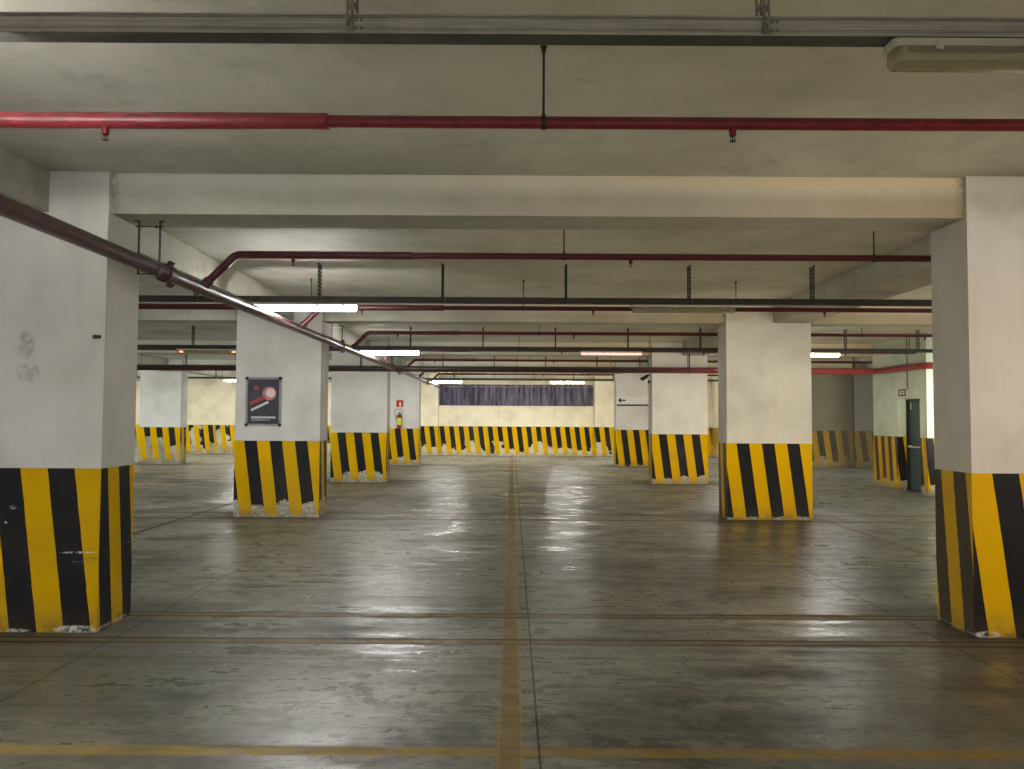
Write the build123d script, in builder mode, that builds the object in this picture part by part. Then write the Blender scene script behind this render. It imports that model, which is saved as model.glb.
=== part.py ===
from build123d import *
import os

# Underground car park: one storey, four bays wide and five bays deep, open at the
# front and at both sides where the real one runs on, and closed by its rear wall.
# Millimetres, +Z up, +Y into the depth. The origin is the middle of the footprint,
# on the underside of the floor slab.

# Column grid
BAYS_WIDE = 4
BAYS_DEEP = 5
LINE_PITCH = 7800
ROW_PITCH = 6500
COLUMN_WIDTH = 1350
COLUMN_DEPTH = 500

# Levels
FLOOR_THICKNESS = 250
CLEAR_HEIGHT = 3430
ROOF_THICKNESS = 250
BEAM_DROP = 310

# Beams under the roof slab
CROSS_BEAM_WIDTH = 420
LONG_BEAM_WIDTH = 450
WIDE_BEAM_WIDTH = 560
WIDE_BEAM_LINE = 3
BEAM_SETBACK = 40

# Walls
REAR_WALL_THICKNESS = 250
PARTITION_THICKNESS = 200
DOOR_WALL_THICKNESS = 300
CORE_ROW = 3
CORE_LENGTH = 2420
CORE_REACH = 3775
STORE_REACH = 4275

# Emergency door of the stair core
DOORWAY_WIDTH = 980
DOORWAY_HEIGHT = 2050
DOORWAY_FROM_FRONT = 280
FRAME_FACE = 35
FRAME_DEPTH = 100
FRAME_STOP = 15
LEAF_THICKNESS = 50
LEAF_GAP = 5
LEAF_FLOOR_GAP = 8
HINGE_COUNT = 3
HINGE_RADIUS = 9
PIN_RADIUS = 5
PIN_CLEARANCE = 0.1
BARREL_HEIGHT = 50
BARREL_GAP = 0.3
HINGE_PLATE = 4
HINGE_WEB = 8
HINGE_MARGIN = 250

# Panic bar across the door
BAR_HEIGHT = 980
BAR_RADIUS = 14
BAR_HOUSING = (60, 42, 120)
BAR_HOUSING_MARGIN = 70
BAR_PIVOT_OUT = 32
BAR_OUT = 48
BAR_DOWN = 30
BAR_PIN_RADIUS = 6
BAR_PIN_LENGTH = 16
BAR_ARM_THICKNESS = 10
BAR_ARM_GAP = 3

# Sprinkler pipes: each drop is from the ceiling down to the pipe's centre line
MAIN_X = 870
MAIN_DROP = 670
MAIN_RADIUS = 57
MAIN_REAR_STOP = 2000
CROSS_MAIN_RADIUS = 70
CROSS_MAIN_DROP = 700
CROSS_MAIN_BEFORE_ROW = 430
CROSS_MAIN_BEND = 150
CROSS_MAIN_OFF_WALL = 30
TEE_RADIUS = 80
TEE_LENGTH = 300
HIGH_BRANCH_DROP = 360
HIGH_BRANCH_AFTER_ROW = 1020
LOW_BRANCH_DROP = 380
LOW_BRANCH_AFTER_ROW = 4260
BRANCH_RADIUS = 30
HIGH_FEED_RADIUS = 36
LOW_FEED_RADIUS = 40
RISER_RADIUS = 36
FEED_RIGHT_END = 2800
FEED_LEFT_END = -5000
OUTLET_RADIUS = 46
OUTLET_REACH = 110
ELBOW_BEND = 110
ELBOW_REACH = 60
PIPE_END_MARGIN = 20
COUPLING_RADIUS = 76
COUPLING_LENGTH = 90
COUPLING_AFTER_BEAM = 90

# Sprinkler heads and pipe hangers
HEAD_PITCH = 3090
HEAD_START = 4795
HEAD_PAST_ELBOW = 350
HEAD_BOSS_RADIUS = 18
HEAD_BOSS_DROP = 8
HEAD_BODY_RADIUS = 14
HEAD_BODY_LENGTH = 16
HEAD_NECK_RADIUS = 8
HEAD_NECK_DROP = 22
HEAD_STEM_RADIUS = 5
HEAD_PLATE_RADIUS = 17
HEAD_PLATE_DROP = 50
HEAD_PLATE_THICKNESS = 3
HEAD_TIP_RADIUS = 6
HEAD_LENGTH = 56
ROD_RADIUS = 6
ROD_PITCH = 2840
ROD_PAST_ELBOW = 700
HIGH_ROD_START = 4185
LOW_ROD_START = 3863
RING_CLEARANCE = 0.5
RING_THICKNESS = 4
RING_WIDTH = 24
STRAP_WIDTH = 25
STRAP_THICKNESS = 6
STRAP_GAP = 165
CROSS_STRAP_PAST_LINE = 120

# Lighting trunking, its hangers and the light fittings
TRUNKING_WIDTH = 80
TRUNKING_HEIGHT = 72
TRUNKING_DROP = 468
TRUNKING_LIP = 7
TRUNKING_RECESS = 4
HANGER_PITCH = 1485
HANGER_STARTS = (3130, 4358, 3116, 3199, 3051)
HANGER_WIDTH = 26
HANGER_THICKNESS = 4
FITTING_LENGTH = 1270
FITTING_WIDTH = 104
HOUSING_HEIGHT = 36
COVER_LENGTH = 1240
COVER_WIDTH = 92
COVER_HEIGHT = 64
COVER_ROUNDING = 0.45
FITTING_X = (-14185, -10285, -6385, -2485, 1215, 5775, 9815, 13615)
FITTING_SHIFTS = (-80, 0, -30, 515, 0)
LIT = {(1, 1215), (2, 1215), (3, 1215), (3, 9815), (5, 1215), (5, 5775), (5, -6385),
       (4, 9815), (1, -6385), (3, -10285), (4, -14185), (2, 13615)}
FADING = {(3, 5775)}

# Fittings on the columns
SIGN_THICKNESS = 4
EXTINGUISHER_RADIUS = 80
EXTINGUISHER_HEIGHT = 460
EXTINGUISHER_LEVEL = 1200
EXTINGUISHER_X = 45
SHOULDER_ROUNDING = 48
BASE_ROUNDING = 12
VALVE_RADIUS = 22
VALVE_HEIGHT = 50
LEVER = (30, 130, 25)
LEVER_FORWARD = 45
BRACKET_WIDTH = 70
BRACKET_DEPTH = 20
BRACKET_FROM_BASE = 200
BRACKET_FROM_TOP = 60
HOSE_RADIUS = 8
HOSE_OUTLET_RADIUS = 11
HOSE_OUTLET_REACH = 34
HOSE_FAR_OUT = 90
HOSE_STAND_OFF = 70
HOSE_ARCH_RISE = 145
HOSE_OUTLET_BEND = 50
HOSE_ARCH_BEND = 65
HOSE_LOWER_BEND = 100
HOSE_ABOVE_CLIP = 110
HOSE_CLIP_LEVEL = 360
HOSE_CLIP_HEIGHT = 24
NOZZLE_RADIUS = 13
NOZZLE_LENGTH = 70
EXTINGUISHER_SIGN = 240
EXTINGUISHER_SIGN_LEVEL = 2020
POSTER = (560, 770)
POSTER_CENTRE = (-225, 1820)
POSTER_PROFILE = 28
POSTER_DEPTH = 22
BANNER_MARGIN = 25
BANNER_HEIGHT = 880
BANNER_BELOW_BEAM = 180
DIRECTION_SIGN = (1340, 330)
DIRECTION_SIGN_LEVEL = 2130
CAMERA_LEVEL = 2590
CAMERA_RADIUS = 42
CAMERA_LENGTH = 200
CAMERA_AIM = (-0.80, -0.40, -0.45)
CAMERA_OFF_WALL = 125
CAMERA_PLATE = 90
CAMERA_PLATE_THICKNESS = 12
CAMERA_ARM = 26
HOOK_X = 615
HOOK_LEVEL = 2180
HOOK = (64, 30, 28)
EXIT_LIGHT = (55, 300, 140)
EXIT_LIGHT_ABOVE_DOORWAY = 70
CONDUIT_SIZE = 20

# Places worked out from the sizes above
FLOOR_TOP = FLOOR_THICKNESS
SOFFIT = FLOOR_TOP + CLEAR_HEIGHT
BEAM_SOFFIT = SOFFIT - BEAM_DROP
ROOF_TOP = SOFFIT + ROOF_THICKNESS
LINES = [(i - BAYS_WIDE / 2) * LINE_PITCH for i in range(BAYS_WIDE + 1)]
ROWS = [(i - BAYS_DEEP / 2) * ROW_PITCH for i in range(BAYS_DEEP + 1)]
BAY_CENTRES = [(a + b) / 2 for a, b in zip(LINES, LINES[1:])]
HALF_WIDTH = LINES[-1] + COLUMN_WIDTH / 2
HALF_DEPTH = ROWS[-1] + COLUMN_DEPTH / 2
REAR_WALL_FRONT = HALF_DEPTH - REAR_WALL_THICKNESS
CORE_X = HALF_WIDTH - CORE_REACH
CORE_REAR = ROWS[CORE_ROW] - COLUMN_DEPTH / 2
CORE_FRONT = CORE_REAR - CORE_LENGTH
STORE_X = HALF_WIDTH - STORE_REACH
STORE_ROW = BAYS_DEEP - 1
STORE_FRONT = ROWS[STORE_ROW] - CROSS_BEAM_WIDTH / 2
AISLE_LINE = BAYS_WIDE // 2
PIPE_END = HALF_WIDTH - PIPE_END_MARGIN

os.makedirs("parts", exist_ok=True)


def write(part, name):
    part.label = name
    export_step(part, f"parts/{name}.step")


def block(x, y, z, mode=Mode.ADD):
    """A box between two corners: each argument is a pair, low and high."""
    with Locations(middle(x, y, z)):
        Box(x[1] - x[0], y[1] - y[0], z[1] - z[0], mode=mode)


def middle(x, y, z):
    """The middle of a box given as for block."""
    return (x[0] + x[1]) / 2, (y[0] + y[1]) / 2, (z[0] + z[1]) / 2


def blocks(spans):
    """Boxes that stand apart, each given as for block; like sizes are placed together."""
    sizes = {}
    for span in spans:
        size = tuple(round(high - low, 6) for low, high in span)
        sizes.setdefault(size, []).append(middle(*span))
    for size, places in sizes.items():
        with Locations(places):
            Box(*size)


def long_beam_span(line):
    """Low and high X of the beam along a column line."""
    if line == WIDE_BEAM_LINE:
        high = LINES[line] + COLUMN_WIDTH / 2 - BEAM_SETBACK
        return high - WIDE_BEAM_WIDTH, high
    return LINES[line] - LONG_BEAM_WIDTH / 2, LINES[line] + LONG_BEAM_WIDTH / 2


def cross_beam_span(row):
    """Low and high Y of the beam along a column row."""
    return ROWS[row] - CROSS_BEAM_WIDTH / 2, ROWS[row] + CROSS_BEAM_WIDTH / 2


def hung_from(x, half_size):
    """Where a hanger at x really goes: (x, level of the soffit that carries it)."""
    for line in range(len(LINES)):
        low, high = long_beam_span(line)
        if low + half_size <= x <= high - half_size:
            return x, BEAM_SOFFIT
        if low - half_size < x < low + half_size:
            return low - half_size, SOFFIT
        if high - half_size < x < high + half_size:
            return high + half_size, SOFFIT
    return x, SOFFIT


def spread(start, pitch, low, high):
    """Places a pitch apart through start, between low and high."""
    first = start - int((start - low) // pitch) * pitch
    places = []
    while first <= high:
        places.append(first)
        first += pitch
    return places


def right_end(y):
    """How far right a pipe or trunking at depth y runs before it meets a wall."""
    if CORE_FRONT < y < CORE_REAR:
        return CORE_X
    if y > STORE_FRONT:
        return STORE_X
    return PIPE_END


# Floor and roof slabs
with BuildPart() as floor_slab:
    block((-HALF_WIDTH, HALF_WIDTH), (-HALF_DEPTH, HALF_DEPTH), (0, FLOOR_TOP))
write(floor_slab.part, "floor_slab")

with BuildPart() as roof_slab:
    block((-HALF_WIDTH, HALF_WIDTH), (-HALF_DEPTH, HALF_DEPTH), (SOFFIT, ROOF_TOP))
write(roof_slab.part, "roof_slab")

# Columns, one node for each row across the car park, up to the roof slab
COLUMN_MIDDLE = (FLOOR_TOP + SOFFIT) / 2
for row, y in enumerate(ROWS):
    name = "rear_wall_pilasters" if row == BAYS_DEEP else f"columns_row_{row + 1}"
    with BuildPart() as columns:
        with Locations([(x, y, COLUMN_MIDDLE) for x in LINES]):
            Box(COLUMN_WIDTH, COLUMN_DEPTH, CLEAR_HEIGHT)
    write(columns.part, name)

# Beams between the columns
BAY_SPANS = [(left + COLUMN_WIDTH / 2, right - COLUMN_WIDTH / 2)
             for left, right in zip(LINES, LINES[1:])]
ROW_SPANS = [(front + COLUMN_DEPTH / 2, rear - COLUMN_DEPTH / 2)
             for front, rear in zip(ROWS, ROWS[1:])]
with BuildPart() as cross_beams:
    blocks([(across, cross_beam_span(row), (BEAM_SOFFIT, SOFFIT))
            for row in range(len(ROWS)) for across in BAY_SPANS])
write(cross_beams.part, "cross_beams")

with BuildPart() as long_beams:
    blocks([(long_beam_span(line), along, (BEAM_SOFFIT, SOFFIT))
            for line in range(len(LINES)) for along in ROW_SPANS])
write(long_beams.part, "long_beams")

# Rear wall, a panel between each pair of pilasters and under the beam
with BuildPart() as rear_wall:
    blocks([(across, (REAR_WALL_FRONT, HALF_DEPTH), (FLOOR_TOP, BEAM_SOFFIT))
            for across in BAY_SPANS])
write(rear_wall.part, "rear_wall_panels")

# Stair core between the second and third rows, at the right
CORE_INNER_X = CORE_X + DOOR_WALL_THICKNESS
CORE_INNER_FRONT = CORE_FRONT + PARTITION_THICKNESS
CORE_INNER_REAR = CORE_REAR - PARTITION_THICKNESS
DOORWAY_NEAR = CORE_FRONT + DOORWAY_FROM_FRONT
DOORWAY_FAR = DOORWAY_NEAR + DOORWAY_WIDTH
DOORWAY_TOP = FLOOR_TOP + DOORWAY_HEIGHT
EDGE_BEAM = long_beam_span(BAYS_WIDE)

with BuildPart() as core_front_wall:
    block((CORE_X, HALF_WIDTH), (CORE_FRONT, CORE_INNER_FRONT), (FLOOR_TOP, SOFFIT))
    block(EDGE_BEAM, (CORE_FRONT, CORE_INNER_FRONT), (BEAM_SOFFIT, SOFFIT), Mode.SUBTRACT)
write(core_front_wall.part, "core_front_wall")

with BuildPart() as core_rear_wall:
    block((CORE_X, HALF_WIDTH), (CORE_INNER_REAR, CORE_REAR), (FLOOR_TOP, SOFFIT))
    block(EDGE_BEAM, (CORE_INNER_REAR, CORE_REAR), (BEAM_SOFFIT, SOFFIT), Mode.SUBTRACT)
write(core_rear_wall.part, "core_rear_wall")

with BuildPart() as core_end_wall:
    block((HALF_WIDTH - PARTITION_THICKNESS, HALF_WIDTH),
          (CORE_INNER_FRONT, CORE_INNER_REAR), (FLOOR_TOP, SOFFIT))
write(core_end_wall.part, "core_end_wall")

with BuildPart() as core_wall_near_door:
    block((CORE_X, CORE_INNER_X), (CORE_INNER_FRONT, DOORWAY_NEAR), (FLOOR_TOP, SOFFIT))
write(core_wall_near_door.part, "core_wall_near_door")

with BuildPart() as core_wall_past_door:
    block((CORE_X, CORE_INNER_X), (DOORWAY_FAR, CORE_INNER_REAR), (FLOOR_TOP, SOFFIT))
write(core_wall_past_door.part, "core_wall_past_door")

with BuildPart() as core_wall_over_door:
    block((CORE_X, CORE_INNER_X), (DOORWAY_NEAR, DOORWAY_FAR), (DOORWAY_TOP, SOFFIT))
write(core_wall_over_door.part, "core_wall_over_door")

# Closed room in the far right corner
with BuildPart() as store_side_wall:
    block((STORE_X, STORE_X + PARTITION_THICKNESS), (STORE_FRONT, REAR_WALL_FRONT),
          (FLOOR_TOP, SOFFIT))
    for row in (STORE_ROW, BAYS_DEEP):
        block((STORE_X, STORE_X + PARTITION_THICKNESS), cross_beam_span(row),
              (BEAM_SOFFIT, SOFFIT), Mode.SUBTRACT)
write(store_side_wall.part, "store_side_wall")

with BuildPart() as store_front_wall:
    block((STORE_X + PARTITION_THICKNESS, LINES[-1] - COLUMN_WIDTH / 2),
          (STORE_FRONT, STORE_FRONT + PARTITION_THICKNESS), (FLOOR_TOP, BEAM_SOFFIT))
write(store_front_wall.part, "store_front_wall")

with BuildPart() as store_end_wall:
    block((HALF_WIDTH - PARTITION_THICKNESS, HALF_WIDTH),
          (ROWS[STORE_ROW] + COLUMN_DEPTH / 2, ROWS[BAYS_DEEP] - COLUMN_DEPTH / 2),
          (FLOOR_TOP, SOFFIT))
write(store_end_wall.part, "store_end_wall")

# Steel door frame, at the inner edge of the doorway, with its stop
FRAME_FRONT_X = CORE_INNER_X - FRAME_DEPTH
LEAF_FRONT_X = CORE_INNER_X - LEAF_THICKNESS
STOP_END_X = LEAF_FRONT_X - LEAF_GAP
DOORWAY_MIDDLE = (DOORWAY_NEAR + DOORWAY_FAR) / 2
with BuildPart() as door_frame:
    block((FRAME_FRONT_X, CORE_INNER_X), (DOORWAY_NEAR, DOORWAY_FAR), (FLOOR_TOP, DOORWAY_TOP))
    block((STOP_END_X, CORE_INNER_X),
          (DOORWAY_NEAR + FRAME_FACE, DOORWAY_FAR - FRAME_FACE),
          (FLOOR_TOP, DOORWAY_TOP - FRAME_FACE), Mode.SUBTRACT)
    block((FRAME_FRONT_X, CORE_INNER_X),
          (DOORWAY_NEAR + FRAME_FACE + FRAME_STOP, DOORWAY_FAR - FRAME_FACE - FRAME_STOP),
          (FLOOR_TOP, DOORWAY_TOP - FRAME_FACE - FRAME_STOP), Mode.SUBTRACT)
write(door_frame.part, "door_frame")

# Hinges: a lower barrel with its pin on the frame, an upper barrel on the leaf
LEAF_NEAR = DOORWAY_NEAR + FRAME_FACE + LEAF_GAP
LEAF_FAR = DOORWAY_FAR - FRAME_FACE - LEAF_GAP
LEAF_BOTTOM = FLOOR_TOP + LEAF_FLOOR_GAP
LEAF_TOP = DOORWAY_TOP - FRAME_FACE - LEAF_GAP
HINGE_X = CORE_INNER_X + HINGE_PLATE + HINGE_RADIUS
HINGE_Y = DOORWAY_FAR - FRAME_FACE - LEAF_GAP / 2
HINGE_SPAN = LEAF_TOP - LEAF_BOTTOM - 2 * HINGE_MARGIN
HINGE_LEVELS = [LEAF_BOTTOM + HINGE_MARGIN + i * HINGE_SPAN / (HINGE_COUNT - 1)
                for i in range(HINGE_COUNT)]
HINGE_PLATE_LENGTH = FRAME_FACE - LEAF_GAP

with BuildPart() as door_hinges:
    for level in HINGE_LEVELS:
        with Locations((HINGE_X, HINGE_Y, level - BARREL_HEIGHT / 2)):
            Cylinder(HINGE_RADIUS, BARREL_HEIGHT)
        with Locations((HINGE_X, HINGE_Y, level)):
            Cylinder(PIN_RADIUS, 2 * BARREL_HEIGHT - LEAF_GAP)
        block((CORE_INNER_X, CORE_INNER_X + HINGE_PLATE),
              (HINGE_Y + LEAF_GAP / 2, HINGE_Y + LEAF_GAP / 2 + HINGE_PLATE_LENGTH),
              (level - BARREL_HEIGHT, level))
        block((CORE_INNER_X, HINGE_X), (HINGE_Y + LEAF_GAP / 2, HINGE_Y + HINGE_WEB),
              (level - BARREL_HEIGHT, level))
write(door_hinges.part, "door_hinges")

with BuildPart() as emergency_door:
    block((LEAF_FRONT_X, CORE_INNER_X), (LEAF_NEAR, LEAF_FAR), (LEAF_BOTTOM, LEAF_TOP))
    for level in HINGE_LEVELS:
        barrel = (level + BARREL_GAP, level + BARREL_HEIGHT)
        block((CORE_INNER_X, CORE_INNER_X + HINGE_PLATE),
              (HINGE_Y - LEAF_GAP / 2 - HINGE_PLATE_LENGTH, HINGE_Y - LEAF_GAP / 2), barrel)
        block((CORE_INNER_X, HINGE_X), (HINGE_Y - HINGE_WEB, HINGE_Y - LEAF_GAP / 2), barrel)
        with Locations((HINGE_X, HINGE_Y, sum(barrel) / 2)):
            Cylinder(HINGE_RADIUS, barrel[1] - barrel[0])
            Cylinder(PIN_RADIUS + PIN_CLEARANCE, barrel[1] - barrel[0], mode=Mode.SUBTRACT)
write(emergency_door.part, "emergency_door")

# Panic bar: two housings on the leaf, and the bar that swings on their pins
BAR_LEVEL = FLOOR_TOP + BAR_HEIGHT
PIVOT_X = LEAF_FRONT_X - BAR_PIVOT_OUT
PIVOT_LEVEL = BAR_LEVEL + BAR_DOWN
HOUSING_DEPTH, HOUSING_WIDTH, HOUSING_TALL = BAR_HOUSING
HOUSING_NEAR = LEAF_NEAR + BAR_HOUSING_MARGIN + HOUSING_WIDTH / 2
HOUSING_FAR = LEAF_FAR - BAR_HOUSING_MARGIN - HOUSING_WIDTH / 2

with BuildPart() as bar_housings:
    for y, inward in ((HOUSING_NEAR, 1), (HOUSING_FAR, -1)):
        with Locations((LEAF_FRONT_X - HOUSING_DEPTH / 2, y, PIVOT_LEVEL)):
            Box(HOUSING_DEPTH, HOUSING_WIDTH, HOUSING_TALL)
        pin_y = y + inward * (HOUSING_WIDTH + BAR_PIN_LENGTH) / 2
        with Locations(Location((PIVOT_X, pin_y, PIVOT_LEVEL), (90, 0, 0))):
            Cylinder(BAR_PIN_RADIUS, BAR_PIN_LENGTH)
write(bar_housings.part, "panic_bar_housings")

ARM_NEAR = HOUSING_NEAR + HOUSING_WIDTH / 2 + BAR_ARM_GAP + BAR_ARM_THICKNESS / 2
ARM_FAR = HOUSING_FAR - HOUSING_WIDTH / 2 - BAR_ARM_GAP - BAR_ARM_THICKNESS / 2
with BuildPart() as panic_bar:
    for y in (ARM_NEAR, ARM_FAR):
        with BuildSketch(Plane.XZ.offset(-y)):
            with Locations((PIVOT_X, PIVOT_LEVEL), (PIVOT_X - BAR_OUT, BAR_LEVEL)):
                Circle(BAR_RADIUS)
            make_hull()
        extrude(amount=BAR_ARM_THICKNESS / 2, both=True)
    with Locations(Location((PIVOT_X - BAR_OUT, (ARM_NEAR + ARM_FAR) / 2, BAR_LEVEL), (90, 0, 0))):
        Cylinder(BAR_RADIUS, ARM_FAR - ARM_NEAR)
    for y in (ARM_NEAR, ARM_FAR):
        with Locations(Location((PIVOT_X, y, PIVOT_LEVEL), (90, 0, 0))):
            Cylinder(BAR_PIN_RADIUS + PIN_CLEARANCE, BAR_ARM_THICKNESS * 2, mode=Mode.SUBTRACT)
write(panic_bar.part, "panic_bar")

# Exit light over the far half of the doorway, and the conduit down to its end
EXIT_DEPTH, EXIT_WIDTH, EXIT_TALL = EXIT_LIGHT
EXIT_BOTTOM = DOORWAY_TOP + EXIT_LIGHT_ABOVE_DOORWAY
EXIT_NEAR = DOORWAY_MIDDLE - CONDUIT_SIZE / 2
with BuildPart() as exit_light:
    block((CORE_X - EXIT_DEPTH, CORE_X),
          (EXIT_NEAR, EXIT_NEAR + EXIT_WIDTH), (EXIT_BOTTOM, EXIT_BOTTOM + EXIT_TALL))
write(exit_light.part, "exit_light")

with BuildPart() as exit_conduit:
    block((CORE_X - CONDUIT_SIZE, CORE_X),
          (EXIT_NEAR, EXIT_NEAR + CONDUIT_SIZE),
          (EXIT_BOTTOM + EXIT_TALL, SOFFIT))
write(exit_conduit.part, "exit_light_conduit")

# Sprinkler pipes. The main runs into the depth and meets the cross main in a tee.
MAIN_Z = SOFFIT - MAIN_DROP
CROSS_Z = SOFFIT - CROSS_MAIN_DROP
CROSS_Y = CORE_REAR - CROSS_MAIN_BEFORE_ROW
CROSS_TURN_X = CORE_X - CROSS_MAIN_OFF_WALL - CROSS_MAIN_RADIUS
CROSS_RETURN_Y = CORE_FRONT - CROSS_MAIN_OFF_WALL - CROSS_MAIN_RADIUS
MAIN_FRONT = -HALF_DEPTH + PIPE_END_MARGIN
MAIN_REAR = REAR_WALL_FRONT - MAIN_REAR_STOP
HIGH, LOW = "high", "low"
BRANCHES = [(HIGH, y + HIGH_BRANCH_AFTER_ROW, SOFFIT - HIGH_BRANCH_DROP) for y in ROWS[:-1]]
BRANCHES += [(LOW, y + LOW_BRANCH_AFTER_ROW, SOFFIT - LOW_BRANCH_DROP) for y in ROWS[:-1]]


def rising(y, radius, reach, start=0):
    """A length of pipe that rises at 45 degrees to the right, out of the main."""
    slope = Plane(origin=(MAIN_X, y, MAIN_Z), x_dir=(0, 1, 0), z_dir=(1, 0, 1))
    with BuildSketch(slope.offset(start)) as section:
        Circle(radius)
    extrude(section.sketch, amount=reach - start)


def corner_x(z):
    """Where a riser reaches the level z of its branch."""
    return MAIN_X + (z - MAIN_Z)


with BuildPart() as sprinkler_main:
    for front, rear in ((MAIN_FRONT, CROSS_Y - TEE_LENGTH / 2), (CROSS_Y + TEE_LENGTH / 2, MAIN_REAR)):
        with BuildSketch(Plane.XZ.offset(-front)):
            with Locations((MAIN_X, MAIN_Z)):
                Circle(MAIN_RADIUS)
        extrude(amount=-(rear - front))
    for kind, y, z in BRANCHES:
        if y < MAIN_REAR:
            rising(y, OUTLET_RADIUS, OUTLET_REACH)
    for row in range(len(ROWS) - 1):
        if ROWS[row] > MAIN_FRONT:
            with Locations(Location((MAIN_X, cross_beam_span(row)[1] + COUPLING_AFTER_BEAM, MAIN_Z),
                                    (90, 0, 0))):
                Cylinder(COUPLING_RADIUS, COUPLING_LENGTH)
write(sprinkler_main.part, "sprinkler_main")

with BuildPart() as cross_main:
    with BuildLine() as cross_route:
        FilletPolyline((-PIPE_END, CROSS_Y, CROSS_Z), (CROSS_TURN_X, CROSS_Y, CROSS_Z),
                       (CROSS_TURN_X, CROSS_RETURN_Y, CROSS_Z), (PIPE_END, CROSS_RETURN_Y, CROSS_Z),
                       radius=CROSS_MAIN_BEND)
    with BuildSketch(Plane(cross_route.line @ 0, z_dir=cross_route.line % 0)):
        Circle(CROSS_MAIN_RADIUS)
    sweep(path=cross_route.line)
    with Locations(Location((MAIN_X, CROSS_Y, MAIN_Z), (90, 0, 0))):
        Cylinder(TEE_RADIUS, TEE_LENGTH)
write(cross_main.part, "cross_main")


def branch_runs(kind, y, z):
    """The straight runs of a branch, each as left X, right X and radius."""
    end = right_end(y)
    if kind == HIGH:
        start = corner_x(z) + ELBOW_REACH
        return (start, FEED_RIGHT_END, HIGH_FEED_RADIUS), (FEED_RIGHT_END, end, BRANCH_RADIUS)
    return ((-PIPE_END, FEED_LEFT_END, BRANCH_RADIUS),
            (FEED_LEFT_END, FEED_RIGHT_END, LOW_FEED_RADIUS),
            (FEED_RIGHT_END, end, BRANCH_RADIUS))


def radius_at(x, runs):
    """Outer radius of a branch at x: thicker where the main feeds it."""
    return next(radius for left, right, radius in runs if left <= x <= right)


def branch(kind, y, z):
    """One branch: its straight runs and the bosses for its heads."""
    runs = branch_runs(kind, y, z)
    heads = []
    with BuildPart() as pipe:
        for left, right, radius in runs:
            with Locations(Location(((left + right) / 2, y, z), (0, 90, 0))):
                Cylinder(radius, right - left)
        first_head = runs[0][0] + (HEAD_PAST_ELBOW if kind == HIGH else 0)
        for x in spread(HEAD_START, HEAD_PITCH, first_head, right_end(y)):
            bottom = z - radius_at(x, runs) - HEAD_BOSS_DROP
            heads.append((x, y, bottom))
            with Locations((x, y, (z + bottom) / 2)):
                Cylinder(HEAD_BOSS_RADIUS, z - bottom)
    return pipe.part, heads


HEADS = []
with BuildPart() as branch_pipes:
    for kind, y, z in BRANCHES:
        pipe, heads = branch(kind, y, z)
        HEADS += heads
        add(pipe)
write(branch_pipes.part, "branch_pipes")


def riser(kind, y, z):
    """The pipe that rises from an outlet of the main: into an elbow where the branch
    begins there, or up against the underside of a branch that runs both ways."""
    corner = corner_x(z)
    out = OUTLET_REACH / 2 ** 0.5
    with BuildPart() as rise:
        if kind == HIGH:
            with BuildLine() as route:
                FilletPolyline((MAIN_X + out, y, MAIN_Z + out), (corner, y, z),
                               (corner + ELBOW_REACH, y, z), radius=ELBOW_BEND)
            with BuildSketch(Plane(route.line @ 0, z_dir=route.line % 0)) as section:
                Circle(RISER_RADIUS)
            sweep(section.sketch, path=route.line)
        else:
            rising(y, RISER_RADIUS, (z - MAIN_Z) * 2 ** 0.5, start=OUTLET_REACH)
            with Locations(Location((corner, y, z), (0, 90, 0))):
                Cylinder(LOW_FEED_RADIUS, OUTLET_REACH * 4, mode=Mode.SUBTRACT)
    return rise.part


with BuildPart() as branch_risers:
    for kind, y, z in BRANCHES:
        if y < MAIN_REAR:
            add(riser(kind, y, z))
write(branch_risers.part, "branch_risers")

# One sprinkler head, hanging from its own origin: thread, frame and deflector
HEAD_PROFILE = ((0, 0), (HEAD_BODY_RADIUS, 0), (HEAD_BODY_RADIUS, -HEAD_BODY_LENGTH),
                (HEAD_NECK_RADIUS, -HEAD_NECK_DROP), (HEAD_STEM_RADIUS, -HEAD_PLATE_DROP),
                (HEAD_PLATE_RADIUS, -HEAD_PLATE_DROP),
                (HEAD_PLATE_RADIUS, -HEAD_PLATE_DROP - HEAD_PLATE_THICKNESS),
                (HEAD_TIP_RADIUS, -HEAD_LENGTH), (0, -HEAD_LENGTH))
with BuildPart() as head:
    with BuildSketch(Plane.XZ):
        with BuildLine():
            Polyline(*HEAD_PROFILE, close=True)
        make_face()
    revolve(axis=Axis.Z)

with BuildPart() as sprinkler_heads:
    with Locations(HEADS):
        add(head.part)
write(sprinkler_heads.part, "sprinkler_heads")


def hanger(bore, length):
    """A ring round a pipe, centred on the origin, and the rod that rises from it."""
    inner = bore + RING_CLEARANCE
    rod_bottom = inner + RING_THICKNESS / 2
    with BuildPart() as piece:
        with BuildSketch(Plane.YZ.offset(-RING_WIDTH / 2)):
            Circle(inner + RING_THICKNESS)
            Circle(inner, mode=Mode.SUBTRACT)
        extrude(amount=RING_WIDTH)
        with Locations((0, 0, (rod_bottom + length) / 2)):
            Cylinder(ROD_RADIUS, length - rod_bottom)
    return piece.part


# Rods and rings that carry the branch pipes from the soffit
RING_PLACES = {}
for kind, y, z in BRANCHES:
    runs = branch_runs(kind, y, z)
    start = HIGH_ROD_START if kind == HIGH else LOW_ROD_START
    first_rod = runs[0][0] + (ROD_PAST_ELBOW if kind == HIGH else RING_WIDTH)
    for x in spread(start, ROD_PITCH, first_rod, right_end(y) - RING_WIDTH):
        x, top = hung_from(x, ROD_RADIUS)
        size = (radius_at(x, runs), top - z)
        RING_PLACES.setdefault(size, []).append((x, y, z))

with BuildPart() as branch_hangers:
    for size, places in RING_PLACES.items():
        piece = hanger(*size)
        with Locations(places):
            add(piece)
write(branch_hangers.part, "branch_pipe_hangers")


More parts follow.
